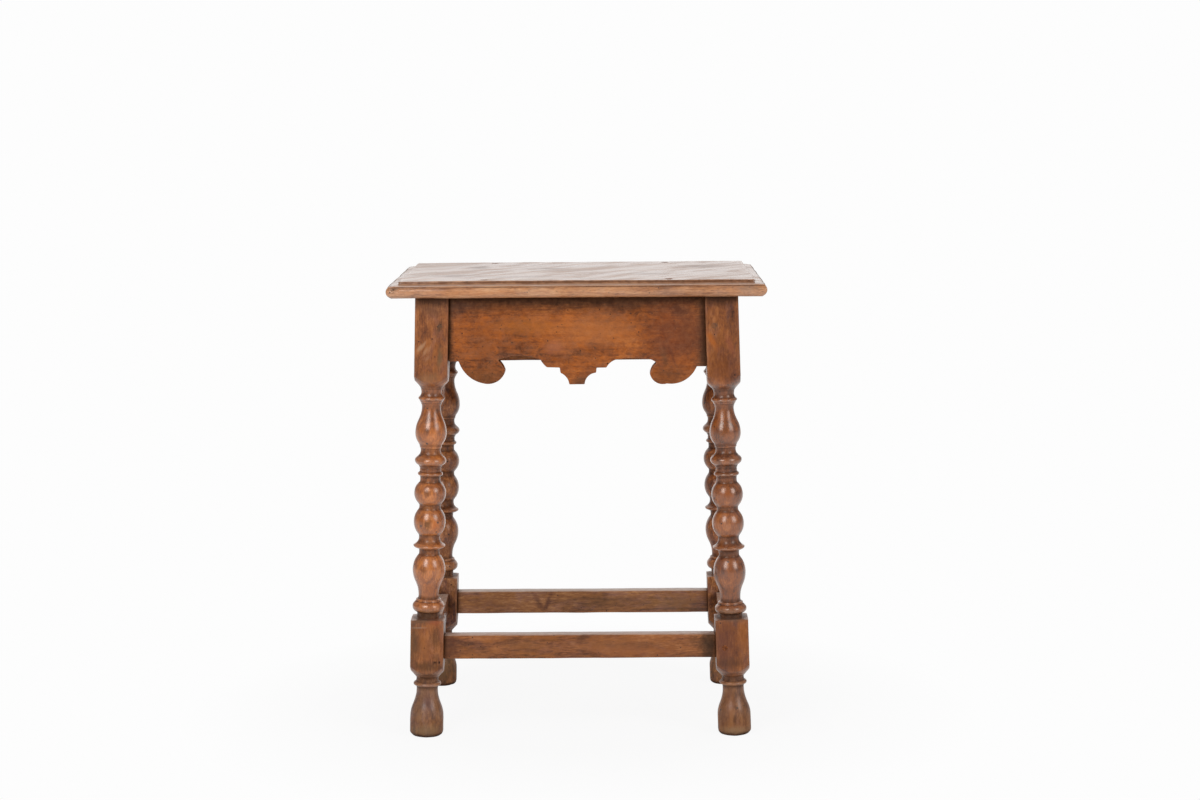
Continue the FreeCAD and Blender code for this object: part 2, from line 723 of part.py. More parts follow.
def joint_pegs(label, part, legs):
    """The pegs of all eight tenons of one kind, two in each leg."""
    pegs = []
    along = size(part + "_tenon_level") + size(part + "_tenon_height") / 2
    inward = half_leg - size("peg_setback")
    doc.recompute()
    for (side, end), leg in legs.items():
        for start, heading in (
                (Vector(-side * inward, end * half_leg, along), Vector(0, -end, 0)),
                (Vector(side * half_leg, -end * inward, along), Vector(-side, 0, 0))):
            local = Placement(start, Rotation(Vector(0, 0, 1), heading))
            pegs.append(make_peg("%s_%d" % (label, len(pegs) + 1), "peg_length", leg.Placement * local))
    return peg_group(label, pegs)


frame_top = size("frame_height")
rail_low = frame_top - size("rail_depth")
stretcher_low = size("stretcher_level")
stretcher_top = stretcher_low + size("stretcher_height")

legs = {}
for end, end_name in ((-1, "front"), (1, "rear")):
    for side, side_name in ((-1, "left"), (1, "right")):
        legs[(side, end)] = make_leg("leg_%s_%s" % (end_name, side_name), side, end)

front_rail = make_long_rail("front_rail", "rail", -1, scalloped_edge, frame_top, rail_low, "rail_offset")
rear_rail = make_long_rail("rear_rail", "rail", 1, straight_edge, frame_top, rail_low, "rail_offset")
for rail in (front_rail, rear_rail):
    bore_for_board_pegs(rail, "frame_height - board_peg_grip / 2", "board_peg_grip + 2 * overrun")
parts = list(legs.values()) + [front_rail, rear_rail]
for side, side_name in ((-1, "left"), (1, "right")):
    parts.append(make_short_rail("side_rail_" + side_name, "rail", side, rail_low, frame_top, "rail_offset"))
for end, end_name in ((-1, "front"), (1, "rear")):
    parts.append(make_long_rail("stretcher_" + end_name, "stretcher", end, straight_edge,
                                stretcher_top, stretcher_low, "0"))
for side, side_name in ((-1, "left"), (1, "right")):
    parts.append(make_short_rail("stretcher_" + side_name, "stretcher", side, stretcher_low,
                                 stretcher_top, "0"))
parts.append(make_board())

board_pegs = []
for side in (-1, 1):
    for end in (-1, 1):
        foot = Vector(side * size("board_peg_reach"),
                      end * (size("frame_depth") / 2 + size("rail_offset")),
                      frame_top - size("board_peg_grip"))
        board_pegs.append(make_peg("board_peg_%d" % (len(board_pegs) + 1),
                                   "board_peg_grip + board_thickness", Placement(foot, Rotation())))
parts.append(joint_pegs("rail_pegs", "rail", legs))
parts.append(joint_pegs("stretcher_pegs", "stretcher", legs))
parts.append(peg_group("board_pegs", board_pegs))

doc.recompute()
for item in doc.Objects:
    if "Invalid" in item.State or "Error" in item.State:
        raise RuntimeError("%s did not build: %s" % (item.Label, item.State))
for part in parts:
    if part.Shape.isNull() or not part.Shape.isValid():
        raise RuntimeError(part.Label + " has no sound shape")

os.makedirs("parts", exist_ok=True)
for part in parts:
    part.Shape.exportStep("parts/%s.step" % part.Label)
    box = part.Shape.optimalBoundingBox(False)
    print("%-18s solids %d  volume %9.0f  x %7.1f %7.1f  y %7.1f %7.1f  z %6.1f %6.1f" % (
        part.Label, len(part.Shape.Solids), part.Shape.Volume, box.XMin, box.XMax,
        box.YMin, box.YMax, box.ZMin, box.ZMax))
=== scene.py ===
import math
from dataclasses import dataclass

import bmesh
import bpy
import numpy as np
from mathutils import Matrix, Vector, noise
from mathutils.bvhtree import BVHTree


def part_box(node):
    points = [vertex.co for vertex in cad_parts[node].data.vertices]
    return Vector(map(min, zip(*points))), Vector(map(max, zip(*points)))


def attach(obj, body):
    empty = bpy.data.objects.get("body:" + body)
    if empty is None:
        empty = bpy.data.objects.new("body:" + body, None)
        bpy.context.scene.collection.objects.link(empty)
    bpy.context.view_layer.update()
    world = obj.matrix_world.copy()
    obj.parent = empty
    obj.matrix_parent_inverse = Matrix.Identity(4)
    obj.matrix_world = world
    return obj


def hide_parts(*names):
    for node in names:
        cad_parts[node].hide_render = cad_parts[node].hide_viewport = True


# Looks of an old joined stool in waxed walnut.
# Every piece is dressed from its own solid in the frame: the legs are turned again, round by
# round, from the profile that the solid has, and the sawn pieces get worn arrises and the
# slight waves of hand planing.
# Lengths are in metres, in the frame's own axes: -Y is the front and Z is up. The materials
# work in mm.

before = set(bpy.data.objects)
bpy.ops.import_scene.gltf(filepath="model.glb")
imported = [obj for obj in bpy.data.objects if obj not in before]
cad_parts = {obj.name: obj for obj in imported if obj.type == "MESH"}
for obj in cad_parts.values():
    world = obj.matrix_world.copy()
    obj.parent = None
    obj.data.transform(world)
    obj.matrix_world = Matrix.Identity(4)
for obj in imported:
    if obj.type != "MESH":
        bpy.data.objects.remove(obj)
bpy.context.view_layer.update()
MM = 0.001

# Camera, fitted to the photograph: turns in radians, lens and sensor in mm
CAMERA_PLACE = (0.0469, -3.1007, 0.7892)
CAMERA_YAW = -0.0068
CAMERA_DIP = 0.12737
CAMERA_ROLL = -0.0075
CAMERA_LENS = 75.0
CAMERA_SENSOR = 36.0

LEGS = ("leg_front_left", "leg_front_right", "leg_rear_left", "leg_rear_right")
SMOOTH_ANGLE = math.radians(38)     # a sharper edge is shaded as an edge
NOISE_STEPS = (1.0, 1.7, -2.3)      # how far each seed moves the noise
NOISE_DECAY = 0.8
NOISE_GAIN = 2.0
NOISE_OCTAVES = 2


def fractal(place, size, seed):
    """Smooth noise between about -1 and 1, with features of about that size."""
    moved = Vector(place) / size + Vector([step * seed for step in NOISE_STEPS])
    return noise.fractal(moved, NOISE_DECAY, NOISE_GAIN, NOISE_OCTAVES)


def node_points(node):
    """Corners of a node's solid, one row each."""
    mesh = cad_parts[node].data
    flat = np.empty(len(mesh.vertices) * 3)
    mesh.vertices.foreach_get("co", flat)
    return flat.reshape(-1, 3)


def add_object(name, data):
    made = bpy.data.objects.new(name, data)
    bpy.context.scene.collection.objects.link(made)
    return made


def place_piece(name, mesh, node):
    """A piece that stands for its node, on the one body."""
    mesh.validate()
    mesh.shade_smooth()
    mesh.set_sharp_from_angle(angle=SMOOTH_ANGLE)
    piece = add_object(name, mesh)
    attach(piece, "root")
    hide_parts(node)
    return piece


# Turned legs
PROFILE_STEP = 0.25 * MM            # between two readings of the profile
PROBE_REACH = 60 * MM               # each reading starts this far from the axis
END_CLEARANCE = 1.5 * MM            # and no nearer than this to the leg's ends
END_TOLERANCE = 0.05 * MM           # corners this close to an end lie on its rim
ROUNDS = 540                        # rounds of vertices along a leg
STEEP_NEED = 1.5                    # how much closer they lie on a slope
STEEPEST = 3                        # slopes beyond this count no more
BEND_NEED = 0.004                   # and where the slope changes
SHARPEST_BEND = 3000                # bends beyond this, in slope a metre, count no more
EDGE_BLUR = 0.35 * MM               # turned edges worn soft
EASE = 1.8 * MM                     # blur that takes the facets out of the long curves
KEEN = 0.25 * MM                    # the easing fades out where it would move an edge this far,
EASE_LIMIT = 1.4                    # and leaves it alone at this many times that
BLOCK_BLUR = 4 * MM                 # change from turned wood to square block
# Reach of each kind of groove, and the depth at which it is black
GROOVES = ((7.0 * MM, 7.0 * MM), (3.0 * MM, 1.8 * MM), (1.2 * MM, 0.35 * MM))
RIM_REACH = 1.6 * MM
RIM_HEIGHT = 0.35 * MM
SECTOR = 5                          # degrees between the vertices of a round
ARRIS_ANGLES = (1.2, 2.8)           # extra vertices beside each arris, in degrees
ARRIS_SHARPNESS = 14                # power of the curve round the most worn arris
ARRIS_VARIETY = 16                  # what a unit of noise adds to it
ARRIS_FADE = 2.2 * MM               # reach of the rubbed wood beside an arris
OUT_OF_ROUND = 0.006
ROUND_NOISE = 60 * MM               # length of the changes in roundness
SKIN_NOISE = 16 * MM                # length of the dips in the surface
FACE_WEAR = 0.22 * MM
TURNED_WEAR = 0.15                  # share of that wear on turned wood
FOOT_WEAR = 1.6 * MM                # taken off the rim of each foot by the floor
FOOT_WEAR_HEIGHT = 5.0 * MM
FOOT_WEAR_VARIETY = 0.6
# Fine rings cut with the point of the tool: heights on the common profile, in mm
RINGS = (70.5, 76.5, 158.5, 283.0, 317.5, 325.0, 328.6, 332.2, 346.0, 355.5, 408.0, 411.5, 425.5)
RING_DEPTH = 0.32 * MM
RING_WIDTH = 0.45 * MM
RING_GRIME = 0.4
# How far each leg's turnings lie below the common profile: heights along the leg and drops, in mm
TURNING_DROPS = {
    "leg_front_left": ((0, 0), (20, -2), (46, -4), (57, -2), (63, 0), (176, 0.2), (236, -0.3),
                       (280, 0.1), (330, 0.7), (440, 0.7)),
    "leg_front_right": ((0, 0), (20, -1.5), (46, -3), (57, -1), (63, 0), (140, 3), (158, 5.8),
                        (176, 6.0), (236, 3.4), (280, 5.0), (320, 2.6), (347, 1.6), (408, 4.4),
                        (426, 5.4)),
    "leg_rear_left": ((133, 0), (288, 0.8), (443, -0.6)),
    "leg_rear_right": ((133, 0), (288, -0.5), (443, 0.8)),
}


def gaussian(values, blur):
    """Values along the leg, blurred over a length."""
    reach = int(math.ceil(3 * blur / PROFILE_STEP))
    offsets = np.arange(-reach, reach + 1) * PROFILE_STEP
    weights = np.exp(-0.5 * (offsets / blur) ** 2)
    padded = np.pad(values, reach, mode="edge")
    return np.convolve(padded, weights / weights.sum(), mode="valid")


def eased(radii):
    """The profile with soft edges, and with its long curves freed from the facets of the solid."""
    fine = gaussian(radii, EDGE_BLUR)
    once = gaussian(radii, EASE)
    smooth = 2 * once - gaussian(once, EASE)
    share = np.clip(EASE_LIMIT - np.abs(smooth - fine) / KEEN, 0, 1)
    share = gaussian(share, EASE / 2)
    return fine + (smooth - fine) * share


class LegFrame:
    """Axis of a leg and the two directions across it, read from its solid."""

    def __init__(self, node):
        points = node_points(node)
        ends = []
        for level in (points[:, 2].min(), points[:, 2].max()):
            rim = points[np.abs(points[:, 2] - level) < END_TOLERANCE]
            ends.append(Vector((rim.min(axis=0) + rim.max(axis=0)) / 2))
        self.node = node
        self.low, self.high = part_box(node)
        self.half = (self.high[1] - self.low[1]) / 2
        self.foot = ends[0]
        self.axis = (ends[1] - ends[0]).normalized()
        self.length = (ends[1] - ends[0]).length
        self.ahead = Vector((0, 1, 0))
        self.across = self.ahead.cross(self.axis)

    def tree(self):
        """The leg's solid, ready to be met by rays."""
        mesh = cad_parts[self.node].data
        corners = [vertex.co.copy() for vertex in mesh.vertices]
        return BVHTree.FromPolygons(corners, [tuple(face.vertices) for face in mesh.polygons])

    def profile(self):
        """Heights along the leg, and the turned radius at each, met from one arris of the blank."""
        tree = self.tree()
        heights = np.arange(0, self.length + PROFILE_STEP, PROFILE_STEP)
        side = math.copysign(1, self.foot.x)
        end = math.copysign(1, self.foot.y)
        inward = -(self.across * side + self.ahead * end).normalized()
        radii = []
        for height in heights:
            level = min(max(height, END_CLEARANCE), self.length - END_CLEARANCE)
            start = self.foot + self.axis * level - inward * PROBE_REACH
            hit = tree.ray_cast(start, inward, PROBE_REACH)
            radii.append(PROBE_REACH - hit[3])
        return heights, np.array(radii)


class Turning:
    """Lathe work along a leg: its radius, and shares of groove, of rim and of square block."""

    def __init__(self, leg):
        heights, radii = leg.profile()
        levels, lengths = zip(*TURNING_DROPS[leg.node])
        drops = np.interp(heights / MM, levels, lengths) * MM
        self.heights = heights
        self.on_block = gaussian((radii > leg.half).astype(float), BLOCK_BLUR)
        turned = 1 - self.on_block
        shifted = heights + drops * turned
        rings = sum(np.exp(-((shifted - ring * MM) / RING_WIDTH) ** 2) for ring in RINGS)
        soft = eased(np.interp(shifted, heights, radii)) - RING_DEPTH * rings * turned
        groove = sum((gaussian(soft, reach) - soft) / depth for reach, depth in GROOVES)
        self.radii = soft
        self.groove = np.clip(groove + RING_GRIME * rings * turned, 0, 1)
        self.rim = np.clip((soft - gaussian(soft, RIM_REACH)) / RIM_HEIGHT, 0, 1)

    def at(self, height):
        """Radius and shares at one height."""
        return [np.interp(height, self.heights, values)
                for values in (self.radii, self.groove, self.rim, self.on_block)]

    def rounds(self):
        """Heights of the rounds, close together where the profile turns."""
        slope = np.abs(np.gradient(self.radii, PROFILE_STEP))
        bend = np.abs(np.gradient(gaussian(slope, EDGE_BLUR), PROFILE_STEP))
        need = (1.0 + STEEP_NEED * np.minimum(slope, STEEPEST)
                + BEND_NEED * np.minimum(bend, SHARPEST_BEND))
        need = gaussian(need, EDGE_BLUR)
        total = np.concatenate(([0], np.cumsum((need[1:] + need[:-1]) / 2)))
        return np.interp(np.linspace(0, total[-1], ROUNDS), total, self.heights)


def round_angles():
    """Angles of the vertices of a round, close together at the four arrises."""
    angles = set(range(0, 360, SECTOR))
    for corner in range(45, 360, 90):
        for beside in ARRIS_ANGLES:
            angles.update((corner - beside, corner + beside))
    return np.radians(sorted(angles))


def square_radius(half, flat, rough):
    """From the axis to the face of the square blank, whose arrises are unevenly rounded."""
    sharpness = ARRIS_SHARPNESS + ARRIS_VARIETY * (1 + rough)
    return half / (abs(flat.x) ** sharpness + abs(flat.y) ** sharpness) ** (1 / sharpness)


def hand_wear(height, on_block, rough):
    """Wood worn off the surface, and off the rim of the foot."""
    share = TURNED_WEAR + (1 - TURNED_WEAR) * on_block
    scuffed = max(0, 1 - height / FOOT_WEAR_HEIGHT)
    return (FACE_WEAR * share * (1 + rough) / 2
            + FOOT_WEAR * scuffed ** 2 * (1 + FOOT_WEAR_VARIETY * rough))


def leg_round(leg, turning, height, seed):
    """Places and ages of the vertices of one round of a leg."""
    turned, groove, rim, on_block = turning.at(height)
    turned *= 1 + OUT_OF_ROUND * fractal((0, 0, height), ROUND_NOISE, seed)
    centre = leg.foot + leg.axis * height
    places = []
    ages = []
    for angle in round_angles():
        flat = Vector((math.cos(angle), math.sin(angle)))
        rough = fractal((flat.x * leg.half, flat.y * leg.half, height), SKIN_NOISE, seed)
        square = square_radius(leg.half, flat, rough)
        lathe = turned * (1 + OUT_OF_ROUND * math.cos(2 * angle + seed))
        radius = min(lathe, square) - hand_wear(height, on_block, rough)
        place = centre + (leg.across * flat.x + leg.ahead * flat.y) * radius
        place.z = min(max(place.z, leg.low[2]), leg.high[2])
        places.append(place)
        if lathe <= square:
            ages.append((groove, rim, on_block, 1))
        else:
            arris = max(0, 1 - (leg.half * math.sqrt(2) - square) / ARRIS_FADE)
            ages.append((0, arris, on_block, 1))
    return places, ages


def ring_faces(rounds, count):
    """Faces between each round and the next."""
    faces = []
    for row in range(rounds - 1):
        for column in range(count):
            after = (column + 1) % count
            faces.append((row * count + column, row * count + after,
                          (row + 1) * count + after, (row + 1) * count + column))
    return faces


def close_ends(places, ages, faces, count):
    """A fan of faces over the first round and one over the last."""
    last = len(places) - count
    for start, flip in ((0, True), (last, False)):
        ring = list(range(start, start + count))
        middle = len(places)
        places.append(sum((places[index] for index in ring), Vector()) / count)
        ages.append((0, 0, 1, 1))
        for column in range(count):
            pair = (ring[column], ring[(column + 1) % count])
            faces.append((middle,) + (pair[::-1] if flip else pair))


def turned_leg(node, seed):
    """One leg with worn arrises, soft turned edges and a hand-turned roundness."""
    leg = LegFrame(node)
    turning = Turning(leg)
    rounds = turning.rounds()
    places = []
    ages = []
    for height in rounds:
        more_places, more_ages = leg_round(leg, turning, height, seed)
        places.extend(more_places)
        ages.extend(more_ages)
    count = len(places) // len(rounds)
    faces = ring_faces(len(rounds), count)
    close_ends(places, ages, faces, count)
    mesh = bpy.data.meshes.new("turned_" + node)
    mesh.from_pydata([tuple(place) for place in places], [], faces)
    layer = mesh.attributes.new("age", "FLOAT_COLOR", "POINT")
    layer.data.foreach_set("color", np.array(ages, dtype=float).ravel())
    return place_piece("turned_" + node, mesh, node)


# Sawn and planed pieces
WELD = 0.01 * MM
ARRIS_ROWS = 3
SHARP_ANGLE = math.radians(35)
FLAT_ANGLE = math.radians(0.5)
BESIDE_ARRIS = 0.3                  # rubbed share of the vertices at the edge of an arris
WAVE_SIZE = 45 * MM
UNTOUCHED = 0.6                     # noise above this leaves the face as it was sawn
NICK_SIZE = 9 * MM
NICK_DEPTH = 0.25                   # share of the arris
NICK_SEED = 3


def welded_copy(node):
    """The node's solid as a mesh to work on, each flat face in one piece."""
    work = bmesh.new()
    work.from_mesh(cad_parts[node].data)
    bmesh.ops.remove_doubles(work, verts=work.verts, dist=WELD)
    bmesh.ops.dissolve_limit(work, angle_limit=FLAT_ANGLE, verts=work.verts, edges=work.edges,
                             use_dissolve_boundaries=False)
    return work


def round_arrises(work, arris):
    """Round each sharp edge, and write on the vertices how rubbed they are."""
    sharp = [edge for edge in work.edges
             if len(edge.link_faces) == 2 and edge.calc_face_angle() > SHARP_ANGLE]
    made = bmesh.ops.bevel(work, geom=sharp, offset=arris, offset_type="OFFSET",
                           segments=ARRIS_ROWS, profile=0.5, affect="EDGES", clamp_overlap=False)
    rounded = set(made["faces"])
    layer = work.verts.layers.float_color.new("age")
    for vertex in work.verts:
        share = sum(face in rounded for face in vertex.link_faces) / len(vertex.link_faces)
        vertex[layer] = (0, 1 if share == 1 else BESIDE_ARRIS * (share > 0), 0, 1)


def slice_up(work, low, high, grid):
    """Cut the faces of a piece into a grid, so that they can take on slight waves."""
    for axis in range(3):
        extent = high[axis] - low[axis]
        normal = [0, 0, 0]
        normal[axis] = 1
        cuts = int(extent / grid)
        for index in range(1, cuts):
            place = [0, 0, 0]
            place[axis] = low[axis] + extent * index / cuts
            bmesh.ops.bisect_plane(work, geom=work.verts[:] + work.edges[:] + work.faces[:],
                                   dist=WELD, plane_co=place, plane_no=normal)


def wear_down(work, arris, wave, seed):
    """Hollow the faces in slight waves, and nick the arrises."""
    work.normal_update()
    layer = work.verts.layers.float_color["age"]
    moves = []
    for vertex in work.verts:
        lift = wave * (fractal(vertex.co, WAVE_SIZE, seed) - UNTOUCHED) / (1 + UNTOUCHED)
        nicks = 1 + fractal(vertex.co, NICK_SIZE, seed + NICK_SEED)
        lift -= vertex[layer][1] * arris * NICK_DEPTH * nicks
        moves.append(vertex.normal * min(lift, 0))
    for vertex, move in zip(work.verts, moves):
        vertex.co += move


def planed_piece(node, arris, grid, wave, seed):
    """A piece dressed from its solid: rounded arrises and slightly wavy faces."""
    work = welded_copy(node)
    round_arrises(work, arris)
    slice_up(work, *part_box(node), grid)
    wear_down(work, arris, wave, seed)
    mesh = bpy.data.meshes.new("worn_" + node)
    work.to_mesh(mesh)
    work.free()
    return place_piece("worn_" + node, mesh, node)


# Materials
def linear(red, green, blue):
    """A colour as seen on a screen, 0 to 255 a channel, in the units of light."""
    shares = [channel / 255 for channel in (red, green, blue)]
    return tuple(share / 12.92 if share <= 0.04045 else ((share + 0.055) / 1.055) ** 2.4
                 for share in shares) + (1,)


class Graph:
    """Short names for the nodes of one material or world."""

    def __init__(self, owner):
        owner.use_nodes = True
        self.owner = owner
        self.tree = owner.node_tree
        self.tree.nodes.clear()

    def feed(self, socket, value):
        """Link a socket to another, or give it a value of its own."""
        if isinstance(value, bpy.types.NodeSocket):
            self.tree.links.new(value, socket)
        elif value is not None:
            socket.default_value = value

    def make(self, kind, **settings):
        """A node with its settings."""
        made = self.tree.nodes.new("ShaderNode" + kind)
        for name, value in settings.items():
            setattr(made, name, value)
        return made

    def node(self, kind, *values, out=0, **settings):
        """A node whose first sockets are fed in order. Returns one of its outputs."""
        made = self.make(kind, **settings)
        for place, value in enumerate(values):
            self.feed(made.inputs[place], value)
        return made.outputs[out] if made.outputs else None

    def named(self, kind, out=0, **values):
        """A node whose sockets are fed by name, with _ for a space."""
        made = self.make(kind)
        for name, value in values.items():
            self.feed(made.inputs[name.replace("_", " ")], value)
        return made.outputs[out] if made.outputs else None

    def maths(self, operation, first, second=None, clamp=False):
        return self.node("Math", first, second, operation=operation, use_clamp=clamp)

    def add(self, first, second):
        return self.maths("ADD", first, second)

    def times(self, first, second, clamp=False):
        return self.maths("MULTIPLY", first, second, clamp)

    def centred(self, value, share):
        """A noise around 0.5 as a change around 0."""
        return self.times(self.maths("SUBTRACT", value, 0.5), share)

    def vector(self, operation, *vectors):
        return self.node("VectorMath", *vectors, operation=operation)

    def length(self, vector):
        return self.node("VectorMath", vector, out=1, operation="LENGTH")

    def split(self, vector):
        """The three parts of a vector."""
        made = self.make("SeparateXYZ")
        self.feed(made.inputs[0], vector)
        return made.outputs

    def mapped(self, vector, place, sizes, turn):
        """Coordinates measured from a place, along turned axes, in those sizes."""
        local = self.named("Mapping", Vector=vector, Location=place, Scale=sizes, Rotation=turn)
        local.node.vector_type = "TEXTURE"
        return local

    def noise(self, vector, detail=2.0, roughness=0.55, distortion=0.0, out=0):
        return self.named("TexNoise", out, Vector=vector, Scale=1.0, Detail=detail,
                          Roughness=roughness, Distortion=distortion)

    def cells(self, vector, **settings):
        """All that a pattern of cells gives, each about 1 across."""
        made = self.make("TexVoronoi", **settings)
        self.feed(made.inputs["Vector"], vector)
        made.inputs["Scale"].default_value = 1
        return made.outputs

    def spread(self, value, low, high, to_low=0.0, to_high=1.0):
        """A range of values laid over another range, and held at its ends."""
        return self.named("MapRange", Value=value, From_Min=low, From_Max=high,
                          To_Min=to_low, To_Max=to_high)

    def mix(self, share, first, second):
        made = self.make("Mix", data_type="RGBA")
        for place, value in ((0, share), (6, first), (7, second)):
            self.feed(made.inputs[place], value)
        return made.outputs[2]

    def paint(self, colour, share, tone):
        """Lay a tone, as seen on a screen, over a colour."""
        return self.mix(share, colour, linear(*tone))

    def ramp(self, value, tones):
        """Tones, as seen on a screen, spread evenly from 0 to 1."""
        made = self.make("ValToRGB")
        elements = made.color_ramp.elements
        for index, tone in enumerate(tones):
            share = index / (len(tones) - 1)
            stop = elements[index] if index < 2 else elements.new(share)
            stop.position = share
            stop.color = linear(*tone)
        self.feed(made.inputs[0], value)
        return made.outputs[0]


SOOT = (38, 25, 18)
# tone of the grime in the grooves and of the painted shade in recesses
GRIME_AND_SHADE_TONE = (62, 38, 25)
BARE_WOOD = (186, 132, 96)
AMBER = (190, 104, 30)
HAZE = (134, 100, 82)
# tone of the painted light on upward faces
TOP_LIGHT_TONE = (206, 180, 164)
WARM_SHINE = (1.0, 0.84, 0.74, 1)
# Which axes run across the grain, twice, and along it
GRAIN_ORDER = {"X": (1, 2, 0), "Y": (0, 2, 1), "Z": (0, 1, 2)}

# Sizes of the wood's features, in mm
SEED_STEPS = (37.0, -53.0, 71.0)    # how far each seed moves the pattern
FLECK_WIDTH = 1.7
RAGGED_WIDTH = 6.25
MOTTLE_WIDTH = 7
AMBER_WIDTH = 12
PATCH_WIDTH = 22
CLOUD_WIDTH = 60
RING_SPACING = 7
PITH_SWAY = 18.0
CURL_SPACING = 12
CURL_BEND = 26
CURL_ENDS = (-20, 70)               # the curl shows more and more between these places
WORM_SPACING = 9
WORM_RADII = (0.08, 0.15)           # as shares of that spacing
CRACKLE_SPACING = (4.5, 4.5, 6)
CRACKLE_BEND = 2.5
RAGGED_MARK = 8                     # a mark wider than this has a smoother rim
STROKE_SIZES = (110, 26, 26)        # of the cloth that waxed the board
STROKE_TURN = 52                    # in degrees
FOOT_LEVELS = (84, 62)              # a leg takes on the tint of its foot between these heights
# Widths in mm, each with how many times as long the feature is
PORES = (1.1, 4)
FIBRES = (1.6, 9)
CRACKLE_BENDS = (5, 1)
BLOOMS = (16, 2)
PITH_SWAYS = (45, 3)
# Sizes that Blender takes in metres
# reach of the ambient occlusion that paints shade into recesses, joints and the wood under the board
SHADE_AND_GRIME_REACH = 12 * MM
BUMP_DEPTH = 0.35 * MM

# Places in the pattern's own range of tones
MIDDLE_TONE = 0.54
FIGURE_LIFT = 0.3                   # makes up for the dark growth rings
COAT_ROUGHNESS = 0.26


@dataclass
class Wood:
    """Recipe of one piece's wood. Tones run from the darkest grain to the lightest.

    A tint is a factor on red, green and blue: of the whole piece, and on a leg of its turnings,
    its square blocks and its foot. The other numbers say how strongly each feature shows.
    """
    grain: str
    seed: float
    tones: tuple
    tint: tuple = (1.0, 1.0, 1.0)
    block_tint: tuple = (1.0, 1.0, 1.0)
    foot_tint: tuple = (1.0, 1.0, 1.0)
    amber: tuple = AMBER
    haze: tuple = HAZE
    pith: tuple = (60.0, 25.0)
    figure: float = 0.15
    stretch: float = 1.6
    mottle: float = 1.0
    fleck: float = 1.0
    fibre: float = 0.65
    cloud: float = 1.0
    curl: float = 0.0
    crackle: float = 0.0
    contrast: float = 1.4
    gloss: float = 0.4
    rough: float = 0.35
    warm: float = 0.5
    bloom: float = 0.25
    # strength of the grime in the grooves and of the painted shade in recesses
    grime_and_shade_strength: float = 1.0
    wear: float = 0.7
    # share of the painted light on upward faces
    pale: float = 0.5
    coat: float = 0.15
    streaky_coat: float = 0.0
    holes: float = 0.22
    marks: tuple = ()


